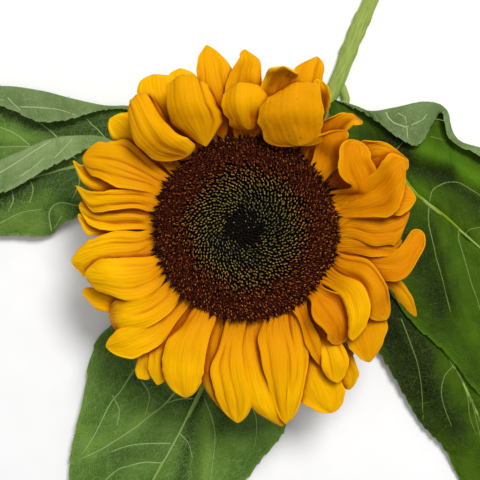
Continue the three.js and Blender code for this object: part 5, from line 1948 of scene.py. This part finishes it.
def stage(settings):
    """A pale table, soft lights and a camera that looks straight down."""
    start_alone()
    bpy.ops.mesh.primitive_plane_add(size=TABLE_SIZE, location=(0, 0, 0))
    table = active()
    table.name = "table_top"
    material, tree, shader = new_material("table_pale_paper", Roughness=0.9, Specular_IOR_Level=0.1)
    place = add_node(tree, "ShaderNodeTexCoord")
    inputs = {"Vector": place.outputs["Object"], "Scale": 60.0, "Detail": 4.0}
    fibre = add_node(tree, "ShaderNodeTexNoise", inputs)
    stops = [(0.3, linear("#FCFCFC")), (0.7, linear("#FFFFFF"))]
    tone = add_node(tree, "ShaderNodeValToRGB", {"Fac": fibre.outputs["Fac"]}, stops=stops)
    tree.links.new(tone.outputs["Color"], shader.inputs["Base Color"])
    table.data.materials.append(material)
    for name, place, size, power in LIGHTS:
        bpy.ops.object.light_add(type="AREA", location=Vector(place) + HEAD)
        lamp = active()
        lamp.name = name
        lamp.data.shape = "DISK"
        lamp.data.size = size
        lamp.data.energy = getattr(settings, power)
        lamp.rotation_euler = (HEAD - lamp.location).to_track_quat("-Z", "Y").to_euler()
    world = bpy.data.worlds.new("studio")
    world.use_nodes = True
    sky = world.node_tree.nodes["Background"]
    sky.inputs["Color"].default_value = (1.0, 1.0, 1.0, 1.0)
    sky.inputs["Strength"].default_value = settings.sky_strength
    bpy.context.scene.world = world
    bpy.ops.object.camera_add(location=HEAD + Vector(CAMERA_PLACE) * MM, rotation=(0, 0, 0))
    camera = active()
    camera.name = "camera_above"
    camera.data.sensor_width = CAMERA_SENSOR
    camera.data.lens = CAMERA_LENS
    camera.data.clip_start = CAMERA_NEAR
    camera.data.dof.use_dof = False
    bpy.context.scene.camera = camera
    bpy.context.scene.view_settings.view_transform = "Standard"
    bpy.context.scene.view_settings.look = "None"


# ---------------------------------------------------------------- add-on


def colour_property(name, code, description):
    """A colour setting of the add-on whose default is an sRGB hex colour."""
    return bpy.props.FloatVectorProperty(
        name=name, description=description, subtype="COLOR", size=4, min=0.0, max=1.0, default=linear(code)
    )


class SunflowerHead(bpy.types.PropertyGroup):
    """Sizes of the flower head and its growth."""

    seed: bpy.props.IntProperty(name="Seed", description="Changes every chance placing", default=11, min=0)
    floret_space: bpy.props.FloatProperty(
        name="Floret spacing",
        description="Distance between neighbouring florets, in mm",
        default=1.36,
        min=0.8,
        max=4.0,
    )
    petal_thickness: bpy.props.FloatProperty(
        name="Petal thickness",
        description="Thickness of a ray petal",
        default=0.45 * MM,
        unit="LENGTH",
        subtype="DISTANCE",
    )


class SunflowerGreens(bpy.types.PropertyGroup):
    """Sizes of the stem and leaves."""

    seed: bpy.props.IntProperty(name="Seed", description="Changes the bracts and bristles", default=23, min=0)
    leaf_thickness: bpy.props.FloatProperty(
        name="Leaf thickness",
        description="Thickness of a leaf blade",
        default=0.6 * MM,
        unit="LENGTH",
        subtype="DISTANCE",
    )
    hair_count: bpy.props.IntProperty(
        name="Bristles", description="Bristles on the stem", default=2600, min=0
    )


class SunflowerColours(bpy.types.PropertyGroup):
    """Colours of petals, leaves and stem."""

    # partly the petal's own deeper hue at its root and partly painted shade
    petal_root_hue_and_shade: colour_property("Petal root", "#B86200", "Colour next to the disc")
    petal_deep: colour_property("Petal shade", "#E89C00", "Colour of streaks and folds")
    petal_mid: colour_property("Petal", "#FABA00", "Main colour")
    petal_light: colour_property("Petal tip", "#FCC400", "Colour of the outer half")
    # partly a warmer petal hue and partly painted shade
    petal_warm_hue_and_shade: colour_property("Warm petals", "#D27E00", "Colour that the warmer petals lean to")
    petal_line: colour_property("Petal grooves", "#C47A00", "Colour in the grooves")
    # painted shade: the colour painted deep in a petal's creases
    petal_fold_shade: colour_property("Petal folds", "#9A4A00", "Colour deep in the folds")
    # painted shade: the colour painted where another petal lies close over a petal
    petal_cover_shade: colour_property("Covered petals", "#A85000", "Colour close under another petal")
    petal_stain: colour_property("Petal stains", "#6E3606", "Colour of faded patches")
    leaf_top: colour_property("Leaf", "#426614", "Upper side of a leaf")
    leaf_patch: colour_property("Leaf patches", "#5E802E", "Lighter patches of the upper side")
    leaf_deep: colour_property("Deep leaf", "#2C4600", "Upper side of the two right leaves")
    leaf_deep_patch: colour_property("Deep leaf patches", "#446200", "Lighter patches of those")
    # painted shade: the colour painted in the upper side's hollows and shadows
    leaf_dark: colour_property("Leaf hollows", "#2A4408", "Hollows of the upper side")
    # painted light: the colour painted on the upper side's crests
    leaf_bright: colour_property("Leaf crests", "#7A9C34", "Crests of the upper side")
    # painted shade: the colour painted in the two right leaves' hollows and shadows
    deep_dark: colour_property("Deep leaf hollows", "#101802", "Hollows of the two right leaves")
    # painted light on the two right leaves' crests, and the light colour of their small branches
    deep_bright: colour_property("Deep leaf crests", "#5A8A0C", "Crests of the two right leaves")
    leaf_vein: colour_property("Leaf veins", "#A4BC7C", "Light parts of the veins")
    leaf_vein_dark: colour_property("Leaf vein shade", "#8CAC60", "Dark parts of the veins")
    deep_vein: colour_property("Deep leaf veins", "#8A9E54", "Light parts of the right leaves' veins")
    deep_vein_dark: colour_property("Deep leaf vein shade", "#627A2E", "Dark parts of those")
    rib: colour_property("Right leaf's rib", "#8CA41A", "Light parts of the broad rib")
    rib_dark: colour_property("Right leaf's rib shade", "#748C0C", "Dark parts of that rib")
    under: colour_property("Underside", "#70894F", "Underside of a leaf")
    under_patch: colour_property("Underside patches", "#8AA066", "Lighter patches of the underside")
    # painted shade: the colour painted in the underside's hollows and shadows
    under_dark: colour_property("Underside hollows", "#50683A", "Hollows of the underside")
    # the underside's net and veins, and the painted light on its crests
    under_vein: colour_property("Underside veins", "#A2B67E", "Net on the underside")
    flap_vein: colour_property("Underside ribs", "#C4D09C", "Light parts of the underside's veins")
    stem_light: colour_property("Stem", "#A8B95E", "Light streaks of the stem")
    stem_dark: colour_property("Stem shade", "#7E9642", "Dark streaks of the stem")
    bract_light: colour_property("Bract", "#7F9F48", "Light streaks of the bracts")
    bract_dark: colour_property("Bract shade", "#54752C", "Dark streaks of the bracts")


class SunflowerStage(bpy.types.PropertyGroup):
    """Strength of the lights."""

    key_power: bpy.props.FloatProperty(
        name="Key", description="Power of the key light", default=8.4, unit="POWER"
    )
    fill_power: bpy.props.FloatProperty(
        name="Fill", description="Power of the fill light", default=0.6, unit="POWER"
    )
    top_power: bpy.props.FloatProperty(
        name="Top", description="Power of the top light", default=3.0, unit="POWER"
    )
    sky_strength: bpy.props.FloatProperty(
        name="Sky", description="Strength of the even light", default=0.29
    )


# the leaves' skins: key, material, colours of skin, patches, painted shade of hollows, painted light of
# crests and net, and roughness
LEAF_SKINS = [
    ("leaf_top", "leaf_upper_skin", "leaf_top leaf_patch leaf_dark leaf_bright leaf_vein", 0.6),
    ("leaf_deep", "leaf_deep_skin", "leaf_deep leaf_deep_patch deep_dark deep_bright deep_vein_dark", 0.6),
    ("leaf_under", "leaf_underside_felt", "under under_patch under_dark under_vein under_vein", 0.8),
]
# stalks, veins and bracts: key, material, and its light and dark colours
STALK_SKINS = [
    ("vein", "leaf_vein_cord", "leaf_vein leaf_vein_dark"),
    ("deep_vein", "leaf_deep_vein_cord", "deep_vein deep_vein_dark"),
    ("branch", "leaf_branch_cord", "leaf_vein_dark leaf_patch"),
    ("deep_branch", "leaf_deep_branch_cord", "deep_bright leaf_deep_patch"),
    ("flap_branch", "leaf_flap_branch_cord", "under_vein under_patch"),
    ("rib", "leaf_rib_cord", "rib rib_dark"),
    ("flap_vein", "leaf_flap_vein_cord", "flap_vein under_vein"),
    ("stem", "stem_ridged_skin", "stem_light stem_dark"),
    ("bract", "bract_downy_skin", "bract_light bract_dark"),
    ("stalk", "leaf_stalk_skin", "stem_light bract_light"),
]


def green_materials(colours):
    """The shared green materials by their keys, made once."""
    if LEAF_SKINS[0][1] not in bpy.data.materials:
        for _, name, looks, roughness in LEAF_SKINS:
            leaf_material(name, *(getattr(colours, look) for look in looks.split()), roughness)
        for _, name, looks in STALK_SKINS:
            stem_material(name, *(getattr(colours, look) for look in looks.split()))
    return {row[0]: bpy.data.materials[row[1]] for row in LEAF_SKINS + STALK_SKINS}


class SUNFLOWER_OT_stage(bpy.types.Operator):
    """Set the table, the lights and the camera"""

    bl_idname = "sunflower.stage"
    bl_label = "Stage"

    def execute(self, context):
        stage(context.scene.sunflower_stage)
        return {"FINISHED"}


class SUNFLOWER_OT_disc(bpy.types.Operator):
    """Make the disc's floor and sow its florets"""

    bl_idname = "sunflower.disc"
    bl_label = "Disc"

    def execute(self, context):
        head = context.scene.sunflower_head
        disc_floor()
        florets(head)
        rim_scales(head)
        return {"FINISHED"}


class SUNFLOWER_OT_petals(bpy.types.Operator):
    """Make the ray petals"""

    bl_idname = "sunflower.petals"
    bl_label = "Ray petals"

    def execute(self, context):
        petals(context.scene.sunflower_head, context.scene.sunflower_colours)
        return {"FINISHED"}


class SUNFLOWER_OT_receptacle(bpy.types.Operator):
    """Make the green dish behind the disc and its bracts"""

    bl_idname = "sunflower.receptacle"
    bl_label = "Receptacle and bracts"

    def execute(self, context):
        materials = green_materials(context.scene.sunflower_colours)
        receptacle(materials)
        bracts(context.scene.sunflower_greens, materials)
        return {"FINISHED"}


class SUNFLOWER_OT_stem(bpy.types.Operator):
    """Make the neck, the stem and their bristles"""

    bl_idname = "sunflower.stem"
    bl_label = "Stem and neck"

    def execute(self, context):
        materials = green_materials(context.scene.sunflower_colours)
        stem_and_neck(materials)
        hairs(context.scene.sunflower_greens)
        return {"FINISHED"}


class SUNFLOWER_OT_leaves(bpy.types.Operator):
    """Make the five leaves with their stalks"""

    bl_idname = "sunflower.leaves"
    bl_label = "Leaves"

    def execute(self, context):
        materials = green_materials(context.scene.sunflower_colours)
        for k, (name, leaf) in enumerate(LEAVES.items()):
            seed = LEAF_SEED + LEAF_SEED_STEP * k
            points, flat, turned, tone = leaf_surface(leaf, seed)
            leaf_blade(name, leaf, points, flat, tone, context.scene.sunflower_greens, materials)
            leaf_veins(name, leaf, points, turned, materials, seed)
            leaf_stalk(name, leaf, materials)
        return {"FINISHED"}


class SUNFLOWER_PT_panel(bpy.types.Panel):
    """Lists the pieces of the sunflower"""

    bl_label = "Cut sunflower"
    bl_idname = "SUNFLOWER_PT_panel"
    bl_space_type = "VIEW_3D"
    bl_region_type = "UI"
    bl_category = "Sunflower"

    def draw(self, context):
        for operator in OPERATORS:
            self.layout.operator(operator.bl_idname)
        for group in GROUPS:
            settings = getattr(context.scene, group)
            for name in settings.bl_rna.properties.keys():
                if name not in ("rna_type", "name"):
                    self.layout.prop(settings, name)


OPERATORS = (
    SUNFLOWER_OT_stage,
    SUNFLOWER_OT_disc,
    SUNFLOWER_OT_petals,
    SUNFLOWER_OT_receptacle,
    SUNFLOWER_OT_stem,
    SUNFLOWER_OT_leaves,
)
GROUPS = {
    "sunflower_head": SunflowerHead,
    "sunflower_greens": SunflowerGreens,
    "sunflower_colours": SunflowerColours,
    "sunflower_stage": SunflowerStage,
}


def register():
    for made in (*GROUPS.values(), *OPERATORS, SUNFLOWER_PT_panel):
        bpy.utils.register_class(made)
    for name, group in GROUPS.items():
        setattr(bpy.types.Scene, name, bpy.props.PointerProperty(type=group))


def unregister():
    for name in GROUPS:
        delattr(bpy.types.Scene, name)
    for made in reversed((*GROUPS.values(), *OPERATORS, SUNFLOWER_PT_panel)):
        bpy.utils.unregister_class(made)


def main():
    register()
    bpy.ops.sunflower.stage()
    bpy.ops.sunflower.disc()
    bpy.ops.sunflower.petals()
    bpy.ops.sunflower.receptacle()
    bpy.ops.sunflower.stem()
    bpy.ops.sunflower.leaves()
    start_alone()


if __name__ == "__main__":
    main()
